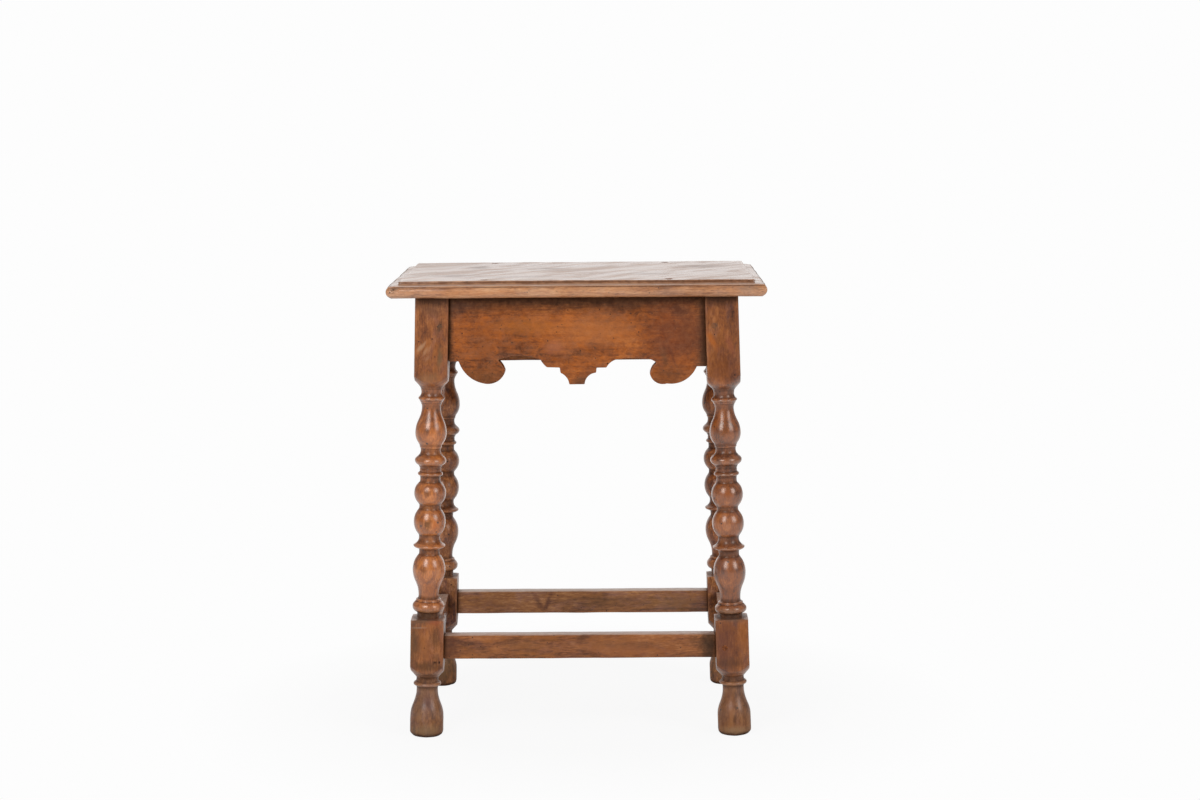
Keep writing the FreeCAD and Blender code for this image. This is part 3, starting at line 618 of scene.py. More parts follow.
class WoodGraph(Graph):
    """Nodes of one piece of waxed old wood, feature by feature. Coordinates are in mm."""

    def __init__(self, name, wood):
        super().__init__(bpy.data.materials.new(name))
        self.wood = wood
        self.find_place()
        self.make_noises()
        self.read_age()

    def find_place(self):
        """Place in the piece, and the same place moved by the seed, across and along the grain."""
        order = GRAIN_ORDER[self.wood.grain]
        steps = tuple(step * self.wood.seed for step in SEED_STEPS)
        self.place = self.vector("MULTIPLY", self.node("TexCoord", out=3), (1 / MM,) * 3)
        self.moved = self.vector("ADD", self.place, steps)
        true = self.split(self.place)
        moved = self.split(self.moved)
        self.height = true[2]
        self.true_wide, self.true_deep, self.true_along = (true[index] for index in order)
        self.wide, self.deep, self.along = (moved[index] for index in order)

    def grained(self, size, stretch):
        """Coordinates in which features are size mm wide and stretch times as long."""
        return self.node("CombineXYZ", self.times(self.wide, 1 / size),
                         self.times(self.deep, 1 / size),
                         self.times(self.along, 1 / (size * stretch)))

    def make_noises(self):
        """Noises from fine flecks to large clouds, each with its detail, roughness and distortion."""
        stretch = self.wood.stretch
        even = self.vector("MULTIPLY", self.moved, (1 / RAGGED_WIDTH,) * 3)
        self.flecks = self.noise(self.grained(FLECK_WIDTH, stretch), 2, 0.7)
        self.fibres = self.noise(self.grained(*FIBRES), 2, 0.6)
        self.mottle = self.noise(self.grained(MOTTLE_WIDTH, stretch), 3, 0.65, 0.6)
        self.patches = self.noise(self.grained(PATCH_WIDTH, stretch), 3, 0.6, 0.8)
        self.clouds = self.noise(self.grained(CLOUD_WIDTH, stretch), 3, 0.55, 0.4)
        self.pores = self.spread(self.noise(self.grained(*PORES), 1), 0.62, 0.72)
        self.ragged = self.centred(self.noise(even, 4, 0.7), 1.0)

    def read_age(self):
        """Shares of groove, rubbed arris and square block that the mesh carries, and of foot."""
        age = self.make("Attribute", attribute_name="age")
        self.groove, self.rubbed, self.block = self.split(age.outputs["Vector"])
        self.foot = self.spread(self.height, *FOOT_LEVELS)

    def latewood(self):
        """Growth rings around the pith, which wanders a little along the grain."""
        sway = self.split(self.noise(self.grained(*PITH_SWAYS), 2, out=1))
        wide = self.add(self.true_wide, -self.wood.pith[0])
        deep = self.add(self.true_deep, -self.wood.pith[1])
        centre = self.node("CombineXYZ", self.add(wide, self.centred(sway[0], PITH_SWAY)),
                           self.add(deep, self.centred(sway[1], PITH_SWAY)), 0.0)
        rings = self.maths("SINE", self.times(self.length(centre), 2 * math.pi / RING_SPACING))
        return self.spread(rings, 0.1, 0.95)

    def curl(self):
        """Slanting bands across the grain, stronger towards one end and in some clouds."""
        bend = self.add(self.times(self.deep, -0.6), self.times(self.patches, CURL_BEND))
        slant = self.add(self.along, bend)
        bands = self.maths("SINE", self.times(slant, 2 * math.pi / CURL_SPACING))
        shown = self.spread(self.true_along, *CURL_ENDS, 0.0, self.wood.curl)
        return self.times(self.times(bands, shown), self.spread(self.clouds, 0.35, 0.6))

    def tone(self):
        """Place of each point in the wood's range of tones, 0 for the darkest."""
        wood = self.wood
        tone = self.centred(self.flecks, 1.2 * wood.fleck)
        for layer, strength in ((self.fibres, wood.fibre), (self.mottle, 0.95 * wood.mottle),
                                (self.patches, 1.1 * wood.mottle), (self.clouds, 0.8 * wood.cloud)):
            tone = self.add(tone, self.centred(layer, strength))
        tone = self.add(tone, self.times(self.latewood(), -wood.figure))
        tone = self.times(tone, wood.contrast)
        if wood.curl:
            tone = self.add(tone, self.curl())
        return self.add(tone, MIDDLE_TONE + FIGURE_LIFT * wood.contrast * wood.figure)

    def bare_wood(self):
        """Colour of the wood itself, with amber and hazy patches and dark pores."""
        wood = self.wood
        colour = self.ramp(self.tone(), wood.tones)
        amber = self.noise(self.grained(AMBER_WIDTH, wood.stretch), 4, 0.7, 1.0)
        colour = self.paint(colour, self.spread(amber, 0.45, 0.68, 0.0, wood.warm), wood.amber)
        bloom = self.noise(self.grained(*BLOOMS), 4, 0.65, 0.5)
        colour = self.paint(colour, self.spread(bloom, 0.48, 0.72, 0.0, wood.bloom), wood.haze)
        return self.paint(colour, self.times(self.pores, 0.5 * wood.fleck), SOOT)

    def worm_holes(self):
        """1 inside small round holes, of which some cells have one."""
        cells = self.cells(self.vector("MULTIPLY", self.moved, (1 / WORM_SPACING,) * 3))
        chance = self.split(cells["Color"])
        bored = self.maths("LESS_THAN", chance[0], self.wood.holes)
        size = self.spread(chance[1], 0, 1, *WORM_RADII)
        return self.times(self.maths("LESS_THAN", cells["Distance"], size), bored)

    def crackle(self):
        """Fine net of dark cracks in the old finish, in patches."""
        bend = self.noise(self.grained(*CRACKLE_BENDS), 2, out=1)
        bent = self.vector("MULTIPLY_ADD", bend, (CRACKLE_BEND,) * 3, self.moved)
        scale = tuple(1 / spacing for spacing in CRACKLE_SPACING)
        net = self.cells(self.vector("MULTIPLY", bent, scale), feature="DISTANCE_TO_EDGE")
        lines = self.spread(net["Distance"], 0.02, 0.16, 1.0, 0.0)
        return self.times(lines, self.spread(self.patches, 0.40, 0.58, 0.0, self.wood.crackle))

    def tinted(self, colour):
        """The colour under the tints of the turnings, the square blocks and the foot."""
        wood = self.wood
        tint = self.mix(self.block, (*wood.tint, 1), (*wood.block_tint, 1))
        tint = self.mix(self.foot, tint, (*wood.foot_tint, 1))
        return self.vector("MULTIPLY", colour, tint)

    def marked(self, colour):
        """The colour with the piece's stains and rubs, and on some pieces painted shadows and painted
        highlights, and the share that they cover.

        Each mark has its middle and half sizes in mm, a turn in degrees, a tone and a share.
        """
        ragged = self.add(self.times(self.ragged, 1.5), self.centred(self.fibres, 1.2))
        covered = None
        for middle, sizes, turn, tone, share in self.wood.marks:
            local = self.mapped(self.place, middle, sizes, (0, math.radians(turn), 0))
            rim = self.times(ragged, min(1, RAGGED_MARK / sorted(sizes)[1]))
            inside = self.spread(self.add(self.length(local), rim), 0.3, 1.1, share, 0.0)
            colour = self.paint(colour, inside, tone)
            covered = inside if covered is None else self.maths("MAXIMUM", covered, inside)
        return colour, covered

    def uneven(self, strength, least):
        """A share that varies raggedly around least."""
        return self.add(self.times(self.ragged, strength), least)

    def grime_and_shade(self):
        """Grime in the turned grooves, and painted shade from ambient occlusion in every recess: in
        corners, at joints and under the board.
        """
        close = self.make("AmbientOcclusion", samples=8)
        close.inputs["Distance"].default_value = SHADE_AND_GRIME_REACH
        # painted shade: ambient occlusion darkens every recess, and at the joints it also stands for
        # their grime
        recess_shade_and_grime = self.spread(close.outputs["AO"], 0.30, 0.90, 1.0, 0.0)
        grime_and_shade = self.maths("MAXIMUM", self.times(self.groove, 0.62), self.times(recess_shade_and_grime, 0.95))
        return self.times(self.times(grime_and_shade, self.uneven(1.5, 0.9)), self.wood.grime_and_shade_strength, clamp=True)

    def aged_shaded_and_top_lit(self, colour, grime_and_shade):
        """The colour darkened in grimy grooves and by painted shade in recesses, with bare wood on
        rubbed arrises and painted light on upward faces.
        """
        # grime in the grooves and painted shade in recesses, in one tone
        colour = self.paint(colour, grime_and_shade, GRIME_AND_SHADE_TONE)
        bare = self.times(self.rubbed, self.uneven(1.8, 0.45), clamp=True)
        colour = self.paint(colour, self.times(bare, self.wood.wear), BARE_WOOD)
        # painted light: upward faces get lighter the further they look up
        upward = self.split(self.node("NewGeometry", out=1))[2]
        upward = self.spread(upward, 0.75, 0.97, 0.0, self.wood.pale)
        return self.paint(colour, self.times(upward, self.uneven(1.5, 0.9), clamp=True), TOP_LIGHT_TONE)

    def relief(self, holes):
        """Bump of the mottled grain, the pores and the worm holes."""
        height = self.add(self.times(self.mottle, 0.2), self.times(self.ragged, 0.15))
        fine = self.add(self.times(self.pores, -0.3), self.times(self.flecks, 0.12))
        height = self.add(self.add(height, fine), self.times(holes, -2.0))
        return self.named("Bump", Strength=self.wood.rough, Distance=BUMP_DEPTH, Height=height)

    def dullness(self, grime_and_shade):
        """Roughness of the wax: more in grimy grooves and under the painted shade, on the square
        blocks and on the feet.
        """
        dull = self.add(self.spread(self.patches, 0.3, 0.7, 0.25, 0.36), self.times(grime_and_shade, 0.3))
        return self.add(self.add(dull, self.times(self.block, 0.06)), self.times(self.foot, 0.15))

    def wiped_coat(self):
        """A coat of wax that was wiped on in slanting strokes."""
        wood = self.wood
        turn = (0, 0, math.radians(STROKE_TURN))
        wiped = self.noise(self.mapped(self.moved, (0, 0, 0), STROKE_SIZES, turn), 4, 0.55, 0.6)
        return self.spread(wiped, 0.42, 0.55, wood.coat - wood.streaky_coat, wood.coat)

    def coat(self, clean):
        """The coat of wax, thin in grimy grooves and under the painted shade, on square blocks and on
        the feet.
        """
        if not self.wood.coat:
            return 0.0
        coat = self.wiped_coat() if self.wood.streaky_coat else self.wood.coat
        handled = self.times(self.spread(self.block, 0, 1, 1.0, 0.2),
                             self.spread(self.foot, 0, 1, 1.0, 0.5))
        return self.times(self.times(clean, handled), coat)

    def clean(self, grime_and_shade, covered):
        """Share of the wax left by grimy grooves, by the painted shade and by the marks."""
        clean = self.maths("SUBTRACT", 1.0, self.times(grime_and_shade, 0.8))
        if covered is None:
            return clean
        return self.times(clean, self.spread(covered, 0, 1, 1.0, 0.25))

    def gloss(self, clean):
        """Gloss of the wood, less than half as strong on square blocks."""
        gloss = self.wood.gloss
        return self.times(clean, self.spread(self.block, 0, 1, gloss, 0.45 * gloss))


def wood_material(name, wood):
    """Waxed old wood: growth rings, fibres, pores, mottling, worm holes, grimy grooves, painted shade
    in recesses, painted light on upward faces and rubbed arrises.
    """
    g = WoodGraph(name, wood)
    holes = g.worm_holes()
    colour = g.paint(g.bare_wood(), holes, SOOT)
    if wood.crackle:
        colour = g.paint(colour, g.crackle(), SOOT)
    colour, covered = g.marked(g.tinted(colour))
    grime_and_shade = g.grime_and_shade()
    clean = g.clean(grime_and_shade, covered)
    surface = g.named("BsdfPrincipled", Base_Color=g.aged_shaded_and_top_lit(colour, grime_and_shade), Roughness=g.dullness(grime_and_shade),
                      Normal=g.relief(holes), Coat_Weight=g.coat(clean),
                      Coat_Roughness=COAT_ROUGHNESS, Specular_IOR_Level=g.gloss(clean),
                      Specular_Tint=WARM_SHINE)
    g.node("OutputMaterial", surface)
    return g.owner


def dress(piece, material):
    """Give the whole piece one material and say which slot that is."""
    piece.data.materials.clear()
    piece.data.materials.append(material)
    piece.data.polygons.foreach_set("material_index", [0] * len(piece.data.polygons))


# Tones of the woods, from the darkest grain to the lightest, as seen on a screen
FRAME_TONES = ((70, 33, 12), (122, 64, 26), (156, 85, 33), (192, 114, 50))
BOARD_TONES = ((132, 84, 54), (176, 118, 78), (196, 138, 94), (216, 162, 118))
PEG_TONES = {
    "rail_pegs": ((48, 32, 22), (80, 55, 38), (108, 77, 55), (132, 98, 74)),
    "stretcher_pegs": FRAME_TONES,
    "board_pegs": ((104, 68, 45), (140, 95, 65), (162, 114, 80), (184, 134, 98)),
}

# Factors on red, green and blue of each leg's turnings, square blocks and foot
LEG_TINTS = {
    "leg_front_left": ((1.19, 1.22, 1.34), (0.77, 0.88, 1.50), (0.65, 0.94, 2.20)),
    "leg_front_right": ((0.88, 0.89, 1.18), (0.71, 0.81, 1.38), (0.57, 0.74, 1.42)),
    "leg_rear_left": ((0.88, 1.10, 2.10), (0.75, 1.08, 2.60), (0.90, 1.27, 2.80)),
    "leg_rear_right": ((0.95, 1.08, 1.85), (0.84, 1.12, 2.30), (1.55, 2.20, 4.00)),
}
# Marks of each leg, in the photograph's own places
LEG_MARKS = {
    "leg_front_left": (
        # painted shadow that the board's overhang casts on the top of the leg
        ((-171, -150, 532), (40, 12, 14), 0, (62, 41, 31), 0.85),
        ((-174, -150, 519), (22, 12, 9), 5, (98, 64, 48), 0.6),
        ((-163, -150, 500), (3.6, 12, 11), 18, (82, 60, 44), 0.75),
        ((-187, -150, 475), (6, 12, 2.4), -52, (182, 140, 106), 0.7),
        ((-183, -150, 477), (7, 12, 1.8), -58, (176, 134, 100), 0.65),
        ((-180, -150, 471), (7, 12, 2.2), -62, (172, 126, 92), 0.65),
        ((-175, -150, 474), (6, 12, 1.6), -66, (168, 120, 86), 0.55),
        ((-178, -150, 462), (5, 12, 2.0), -50, (164, 116, 82), 0.5),
        ((-163, -150, 462), (4, 12, 16), 4, (112, 88, 62), 0.7),
        ((-176, -150, 438), (18, 12, 8), 0, (140, 104, 74), 0.5),
        ((-179.7, -150, 375.4), (3.5, 8, 4.5), 0, (96, 54, 28), 0.75),
        ((-180.9, -150, 300.6), (5, 8, 6), 0, (108, 62, 32), 0.75),
        ((-181, -150, 261.7), (7, 8, 8), 0, (98, 64, 34), 0.75),
        ((-172, -150, 260), (6, 8, 9), 0, (206, 112, 44), 0.6),
        ((-187.3, -150, 205.7), (4.5, 8, 7), 0, (108, 60, 30), 0.7),
        ((-184, -150, 151), (30, 30, 9), 0, (106, 80, 60), 0.75),
        ((-198, -151, 136), (14, 8, 1.1), 0, (172, 142, 120), 0.6),
        ((-201, -150, 118), (11, 14, 30), 0, (98, 72, 53), 0.75),
        ((-187, -150, 110), (8, 14, 22), 0, (162, 100, 50), 0.5),
        ((-174, -150, 122), (8, 14, 14), 0, (98, 66, 46), 0.7),
        ((-173, -150, 98), (7, 14, 10), 0, (104, 68, 46), 0.6),
        ((-176, -150, 143), (10, 14, 5), 0, (152, 70, 40), 0.55),
        ((-190, -150, 146), (18, 14, 8), 0, (92, 68, 52), 0.7),
        ((-185, -150, 88), (28, 14, 8), 0, (84, 61, 43), 0.65),
        ((-174.5, -150, 93), (3.2, 8, 2.8), 0, (28, 18, 14), 0.95),
        ((-169.5, -150, 93.5), (2.2, 8, 2.4), 0, (28, 18, 14), 0.95),
        ((-186, -150, 75), (30, 14, 9), 0, (92, 68, 54), 0.65),
        ((-187, -150, 48), (15, 12, 20), 0, (108, 69, 58), 0.6),
        ((-187, -150, 8), (30, 14, 10), 0, (138, 112, 84), 0.6),
        ((-196, -150, 40), (7, 14, 26), 0, (104, 78, 62), 0.5),
    ),
    "leg_front_right": (
        # painted shadow that the board's overhang casts on the top of the leg
        ((171, -150, 532), (40, 12, 11), 0, (64, 42, 30), 0.8),
        ((160, -150, 482), (4.5, 12, 16), -28, (184, 100, 38), 0.55),
        ((165, -150, 499), (2.8, 12, 6), 12, (96, 74, 58), 0.6),
        ((181, -150, 478), (5, 12, 16), -20, (142, 80, 58), 0.5),
        ((172, -150, 450), (24, 12, 26), 0, (112, 60, 30), 0.45),
        ((174, -150, 371), (9, 8, 8), 0, (142, 82, 38), 0.5),
        ((178, -150, 297), (8, 8, 7), 0, (158, 86, 40), 0.55),
        ((176, -150, 150), (28, 30, 9), 0, (110, 84, 66), 0.75),
        ((176, -150, 116), (17, 14, 36), 0, (110, 68, 54), 0.75),
        ((197, -150, 122), (7, 14, 28), 0, (156, 94, 46), 0.5),
        ((182, -150, 90), (24, 14, 9), 0, (96, 64, 48), 0.6),
        ((190, -150, 146), (16, 14, 6), 0, (104, 78, 60), 0.5),
        ((181, -150, 42), (7, 14, 24), 0, (154, 92, 48), 0.5),
        ((171, -150, 28), (11, 14, 26), 0, (100, 66, 54), 0.65),
        ((200, -150, 44), (7, 14, 30), 0, (108, 74, 52), 0.5),
        ((187, -150, 5), (30, 14, 8), 0, (152, 122, 92), 0.65),
        ((187, -150, 20), (3.0, 14, 9), 6, (84, 56, 44), 0.6),
        ((192, -152, 1), (6, 9, 1.6), 0, (28, 18, 14), 0.9),
    ),
    "leg_rear_left": (
        ((-188, 112, 30), (34, 34, 34), 0, (118, 92, 66), 0.7),
    ),
    "leg_rear_right": (
        ((188, 112, 30), (34, 34, 34), 0, (122, 94, 70), 0.7),
    ),
}
LEG_WOOD = {"figure": 0.16, "stretch": 2.2, "bloom": 0.25, "pale": 0.08, "fibre": 0.5,
            "cloud": 1.5, "grime_and_shade_strength": 1.1, "wear": 0.5, "rough": 0.15, "holes": 0.35}
FRONT_LEG_WOOD = {**LEG_WOOD, "warm": 0.5, "mottle": 0.75, "fleck": 0.5, "coat": 1.0, "gloss": 0.8}
REAR_LEG_WOOD = {**LEG_WOOD, "warm": 0.28, "mottle": 1.2, "fleck": 0.8, "coat": 0.4, "gloss": 0.4,
                 "crackle": 0.35}
# Pith of the tree that each leg was cut from, in mm: right of the leg's middle, less a step from
# each leg to the next, and behind its front
PITH_RIGHT = 8
PITH_STEP = 5
PITH_BEHIND = 95


def dress_legs():
    for seed, node in enumerate(LEGS):
        low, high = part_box(node)
        middle = (low[0] + high[0]) / 2
        pith = (middle / MM + PITH_RIGHT - PITH_STEP * seed, low[1] / MM + PITH_BEHIND)
        tint, block_tint, foot_tint = LEG_TINTS[node]
        recipe = REAR_LEG_WOOD if node.startswith("leg_rear") else FRONT_LEG_WOOD
        wood = Wood("Z", seed + 1, FRAME_TONES, tint, block_tint, foot_tint, pith=pith,
                    marks=LEG_MARKS[node], **recipe)
        leg = turned_leg(node, seed + 1)
        dress(leg, wood_material("walnut_" + node, wood))


# Rails and stretchers
RAIL_MARKS = (
    ((124, -144, 515), (15, 9, 9), 10, (66, 44, 36), 0.8),
    ((104, -144, 462), (5, 9, 14), -12, (78, 64, 44), 0.6),
    ((112, -144, 466), (2.0, 9, 34), -20, (78, 42, 28), 0.55),
    ((-27, -144, 474), (14, 9, 9), 0, (160, 100, 76), 0.5),
    # the next two: painted shadows of the leg blocks on the ends of the rail, which is set back from
    # them, with grime at the joints
    ((-155, -144, 480), (9, 9, 90), 1.5, (46, 29, 20), 0.95),
    ((151, -144, 480), (11, 9, 90), -1.5, (70, 50, 38), 0.95),
    # painted shadow that the board's overhang casts along the top of the rail
    ((0, -144, 534), (420, 9, 21), 0, (52, 32, 23), 0.95),
    ((-140, -144, 524), (22, 9, 9), 0, (66, 42, 36), 0.7),
    ((60, -144, 526), (40, 9, 6), 0, (72, 44, 32), 0.5),
    ((114, -144, 486), (42, 9, 50), 0, (110, 56, 38), 0.65),
    ((-60, -144, 500), (44, 9, 12), 0, (172, 102, 46), 0.5),
    ((24, -144, 496), (52, 9, 20), 0, (176, 108, 62), 0.5),
    ((-112, -144, 478), (16, 9, 30), 0, (112, 60, 32), 0.35),
    ((-115, -144, 438), (40, 9, 14), 0, (88, 54, 32), 0.7),
    ((112, -144, 440), (30, 9, 14), 0, (92, 54, 32), 0.5),
    ((4, -144, 432), (16, 9, 9), 0, (98, 62, 38), 0.5),
    ((136, -144, 492), (22, 9, 34), 0, (94, 50, 34), 0.5),
)
FRONT_STRETCHER_MARKS = (
    # painted shadow of the right leg's lower block on the end of the stretcher
    ((156, -140, 113), (15, 9, 32), 0, (56, 44, 36), 0.9),
    ((138, -140, 118), (9, 9, 12), 0, (92, 64, 46), 0.5),
    # painted shadow of the left leg's lower block on the end of the stretcher
    ((-156, -140, 110), (15, 9, 28), 0, (86, 54, 44), 0.7),
    ((4, -140, 121), (9, 9, 4), 0, (80, 54, 42), 0.7),
    ((-8, -140, 114), (4, 9, 3), 0, (172, 118, 84), 0.5),
    ((60, -140, 104), (50, 9, 7), 0, (160, 92, 46), 0.4),
    ((-70, -140, 112), (30, 9, 10), 0, (112, 76, 50), 0.4),
    ((50, -140, 112), (60, 9, 12), 0, (146, 94, 60), 0.5),
)
REAR_STRETCHER_MARKS = (
    ((-58, 120, 110), (5, 9, 15), -30, (78, 50, 46), 0.7),
    ((-45, 120, 110), (4, 9, 15), 18, (74, 46, 46), 0.7),
    ((30, 120, 110), (70, 9, 11), 0, (92, 66, 44), 0.4),
    ((120, 120, 108), (40, 9, 12), 0, (122, 92, 60), 0.4),
    ((-120, 120, 108), (36, 9, 10), 0, (132, 88, 56), 0.4),
)
BAR_WOOD = {"figure": 0.12, "fleck": 0.6, "gloss": 0.25, "coat": 0.05, "holes": 0.8}
PLAIN_WOOD = {**BAR_WOOD, "mottle": 0.6, "cloud": 1.6, "fibre": 0.6, "stretch": 4.0}
CURLED_WOOD = {**BAR_WOOD, "mottle": 0.45, "cloud": 2.0, "fibre": 0.3, "stretch": 1.6,
               "curl": 0.13}
# Grain, tint, amber, bloom, share of painted light on the tops, and marks of each bar
BARS = {
    "front_rail": ("X", (0.88, 0.80, 0.74), 0.75, 0.32, 0.5, RAIL_MARKS),
    "rear_rail": ("X", (0.75, 0.8, 1.0), 0.3, 0.2, 0.5, ()),
    "side_rail_left": ("Y", (0.8, 0.8, 1.0), 0.3, 0.2, 0.5, ()),
    "side_rail_right": ("Y", (0.8, 0.8, 1.0), 0.3, 0.2, 0.5, ()),
    "stretcher_front": ("X", (0.88, 1.11, 2.25), 0.5, 0.1, 0.65, FRONT_STRETCHER_MARKS),
    "stretcher_rear": ("X", (1.02, 1.58, 3.60), 0.2, 0.2, 1.0, REAR_STRETCHER_MARKS),
    "stretcher_left": ("Y", (0.80, 0.90, 1.3), 0.2, 0.3, 0.8, ()),
    "stretcher_right": ("Y", (0.80, 0.90, 1.3), 0.2, 0.3, 0.8, ()),
}
BAR_SEED = 11


def dress_bars():
    for seed, node in enumerate(BARS, BAR_SEED):
        grain, tint, warm, bloom, pale, marks = BARS[node]
        recipe = CURLED_WOOD if node == "front_rail" else PLAIN_WOOD
        wood = Wood(grain, seed, FRAME_TONES, tint, warm=warm, bloom=bloom, pale=pale,
                    marks=marks, **recipe)
        bar = planed_piece(node, arris=0.9 * MM, grid=9 * MM, wave=0.5 * MM, seed=seed)
        dress(bar, wood_material("walnut_" + node, wood))


# Board
BOARD_MARKS = (
    ((-42, 37, 555), (34, 8, 9), 0, (62, 44, 38), 0.95),
    ((-125, 60, 555), (16, 34, 9), 0, (96, 60, 50), 0.9),
    ((-150, -70, 555), (34, 26, 9), 0, (116, 72, 58), 0.85),
    ((-70, -90, 555), (60, 14, 9), 0, (128, 84, 66), 0.6),
    ((5, -112, 555), (8, 5, 9), 0, (44, 30, 24), 1.0),
    ((155, 60, 555), (34, 34, 9), 0, (112, 74, 60), 0.85),
    ((90, -60, 555), (26, 20, 9), 0, (124, 84, 68), 0.6),
    # painted highlight at the board's left front corner
    ((-211, -150, 548), (9, 9, 7), 0, (214, 178, 150), 0.7),
    # painted shade along the step of the raised field
    ((0, -153, 552.6), (500, 5, 2.6), 0, (96, 62, 44), 0.8),
    ((203, -166, 545), (14, 8, 7), 0, (150, 122, 106), 0.6),
    ((-120, -166, 541), (60, 8, 5), 0, (196, 128, 80), 0.5),
    ((30, -166, 547), (50, 8, 4), 0, (206, 152, 112), 0.5),
    ((120, -166, 540), (34, 8, 5), 0, (150, 104, 74), 0.5),
)
BOARD_SEED = 31


def dress_board():
    wood = Wood("X", BOARD_SEED, BOARD_TONES, amber=(200, 128, 76), haze=(190, 150, 128),
                stretch=4, warm=0.35, bloom=0.35, pale=0.45, grime_and_shade_strength=1.4, coat=1.0,
                streaky_coat=0.9, gloss=0.9, marks=BOARD_MARKS)
    board = planed_piece("top_board", arris=1.0 * MM, grid=9 * MM, wave=0.6 * MM, seed=BOARD_SEED)
    dress(board, wood_material("walnut_board", wood))


# Pegs
PEG_MARKS = {"rail_pegs": (((160, -150, 499.7), (8, 12, 8), 0, (138, 90, 58), 0.9),
                           ((-160, -150, 499.7), (8, 12, 8), 0, (108, 78, 56), 0.75))}
PEG_TINT = (0.8, 0.85, 1.2)
PEG_SEED = 41


def dress_pegs():
    for seed, node in enumerate(PEG_TONES, PEG_SEED):
        wood = Wood("Y", seed, PEG_TONES[node], PEG_TINT, warm=0.0, wear=0.0, coat=0.0,
                    gloss=0.15, marks=PEG_MARKS.get(node, ()))
        pegs = planed_piece(node, arris=0.4 * MM, grid=60 * MM, wave=0.1 * MM, seed=seed)
        dress(pegs, wood_material("walnut_" + node, wood))


dress_legs()
dress_bars()
dress_board()
dress_pegs()

# Studio
BACKGROUND = linear(253, 253, 253)
CARD = linear(254, 251, 250)
PAPER = linear(240, 240, 240)
LAMP_TARGET = Vector((0, 0, 0.3))
FLOOR_RADIUS = 12.0
FLOOR_CORNERS = 96
FLOOR_DROP = 0.2 * MM
SHADOW_REACH = (0.22, 0.5)          # the floor's shadow fades between these distances
NEAR_WHITE = 0.93                   # share of plain white on the floor near the stool
FLOOR_MIRRORED = 0.5                # share of plain white on the floor as the wax mirrors it
AMBIENT = 0.35
ROOM_BEHIND = 0.15                  # light that the wax mirrors from behind the camera
ROOM_AHEAD = 0.25                   # and from the other side


def softbox(name, azimuth, height, distance, width, tall, watts):
    """A soft lamp in front of the stool, azimuth degrees to the right of the middle."""
    light = bpy.data.lights.new(name, "AREA")
    light.shape = "RECTANGLE"
    light.size = width
    light.size_y = tall
    light.energy = watts
    lamp = add_object(name, light)
    turn = math.radians(azimuth)
    lamp.location = (distance * math.sin(turn), -distance * math.cos(turn), height)
    way = LAMP_TARGET - lamp.location
    lamp.rotation_euler = way.to_track_quat("-Z", "Y").to_euler()


def card_material():
    """White to gloss, and clear to everything else."""
    g = Graph(bpy.data.materials.new("white_card"))
    path = g.make("LightPath").outputs
    clear = g.node("BsdfTransparent", (1, 1, 1, 1))
    white = g.node("Emission", CARD, 1.0)
    g.node("OutputMaterial", g.node("MixShader", path["Is Glossy Ray"], clear, white))
    return g.owner


def white_card(place, half, low, high):
    """The backdrop as the wax mirrors it: a card close behind the stool, seen by gloss alone."""
    mesh = bpy.data.meshes.new("backdrop")
    corners = [(-half, place, low), (half, place, low), (half, place, high), (-half, place, high)]
    mesh.from_pydata(corners, [], [(0, 1, 2, 3)])
    mesh.materials.append(card_material())
    add_object("backdrop", mesh)


def floor_material():
    """Pale paper: white as a background, with the stool's faint shadow near its feet."""
    g = Graph(bpy.data.materials.new("pale_floor"))
    path = g.make("LightPath").outputs
    far = g.length(g.node("TexCoord", out=3))
    plain = g.spread(far, *SHADOW_REACH, NEAR_WHITE, 1.0)
    seen = g.times(path["Is Camera Ray"], plain)
    mirrored = g.times(path["Is Glossy Ray"], FLOOR_MIRRORED)
    share = g.maths("MAXIMUM", mirrored, path["Is Transmission Ray"])
    share = g.maths("MAXIMUM", seen, share)
    white = g.node("Emission", BACKGROUND, 1.0)
    g.node("OutputMaterial", g.node("MixShader", share, g.node("BsdfDiffuse", PAPER), white))
    return g.owner


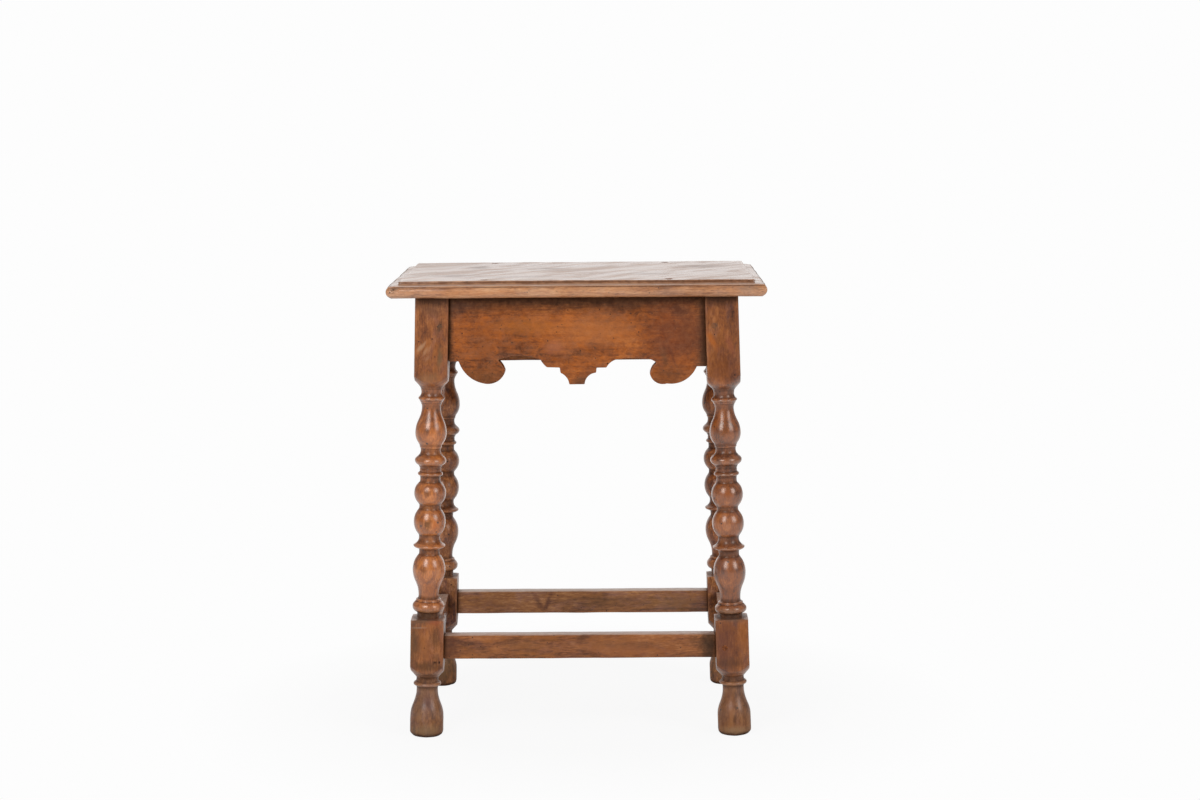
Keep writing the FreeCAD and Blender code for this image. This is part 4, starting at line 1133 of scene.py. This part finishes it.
def floor_disc():
    mesh = bpy.data.meshes.new("floor")
    work = bmesh.new()
    bmesh.ops.create_circle(work, cap_ends=True, segments=FLOOR_CORNERS, radius=FLOOR_RADIUS)
    work.to_mesh(mesh)
    work.free()
    mesh.materials.append(floor_material())
    floor = add_object("floor", mesh)
    floor.location.z = -FLOOR_DROP


def studio_world():
    """White behind the stool, dim light around it and a dark room behind the camera."""
    g = Graph(bpy.data.worlds.new("studio"))
    path = g.make("LightPath").outputs
    ahead = g.split(g.node("TexCoord", out=0))[1]
    room = g.spread(ahead, -0.25, 0.15, ROOM_BEHIND, ROOM_AHEAD)
    clear = g.maths("MAXIMUM", path["Is Camera Ray"], path["Is Transmission Ray"])
    level = g.spread(path["Is Glossy Ray"], 0, 1, AMBIENT, room)
    level = g.maths("MAXIMUM", clear, level)
    g.node("OutputWorld", g.node("Background", BACKGROUND, level))
    return g.owner


def fitted_camera():
    """The photograph's own view."""
    data = bpy.data.cameras.new("camera")
    data.lens = CAMERA_LENS
    data.sensor_width = CAMERA_SENSOR
    camera = add_object("camera", data)
    forward = Vector((math.sin(CAMERA_YAW) * math.cos(CAMERA_DIP),
                      math.cos(CAMERA_YAW) * math.cos(CAMERA_DIP), -math.sin(CAMERA_DIP)))
    right = Vector((math.cos(CAMERA_YAW), -math.sin(CAMERA_YAW), 0))
    up = right.cross(forward)
    rolled_right = right * math.cos(CAMERA_ROLL) + up * math.sin(CAMERA_ROLL)
    rolled_up = up * math.cos(CAMERA_ROLL) - right * math.sin(CAMERA_ROLL)
    axes = Matrix((rolled_right, rolled_up, -forward)).transposed().to_4x4()
    camera.matrix_world = Matrix.Translation(CAMERA_PLACE) @ axes
    return camera


softbox("softbox_left", azimuth=-27, height=1.12, distance=1.6, width=0.62, tall=1.0, watts=11.5)
softbox("softbox_right", azimuth=46, height=1.45, distance=2.6, width=1.15, tall=1.5, watts=22)
white_card(place=0.6, half=0.45, low=0.0, high=1.4)
floor_disc()
bpy.context.scene.world = studio_world()
bpy.context.scene.camera = fitted_camera()
bpy.context.scene.view_settings.view_transform = "Standard"
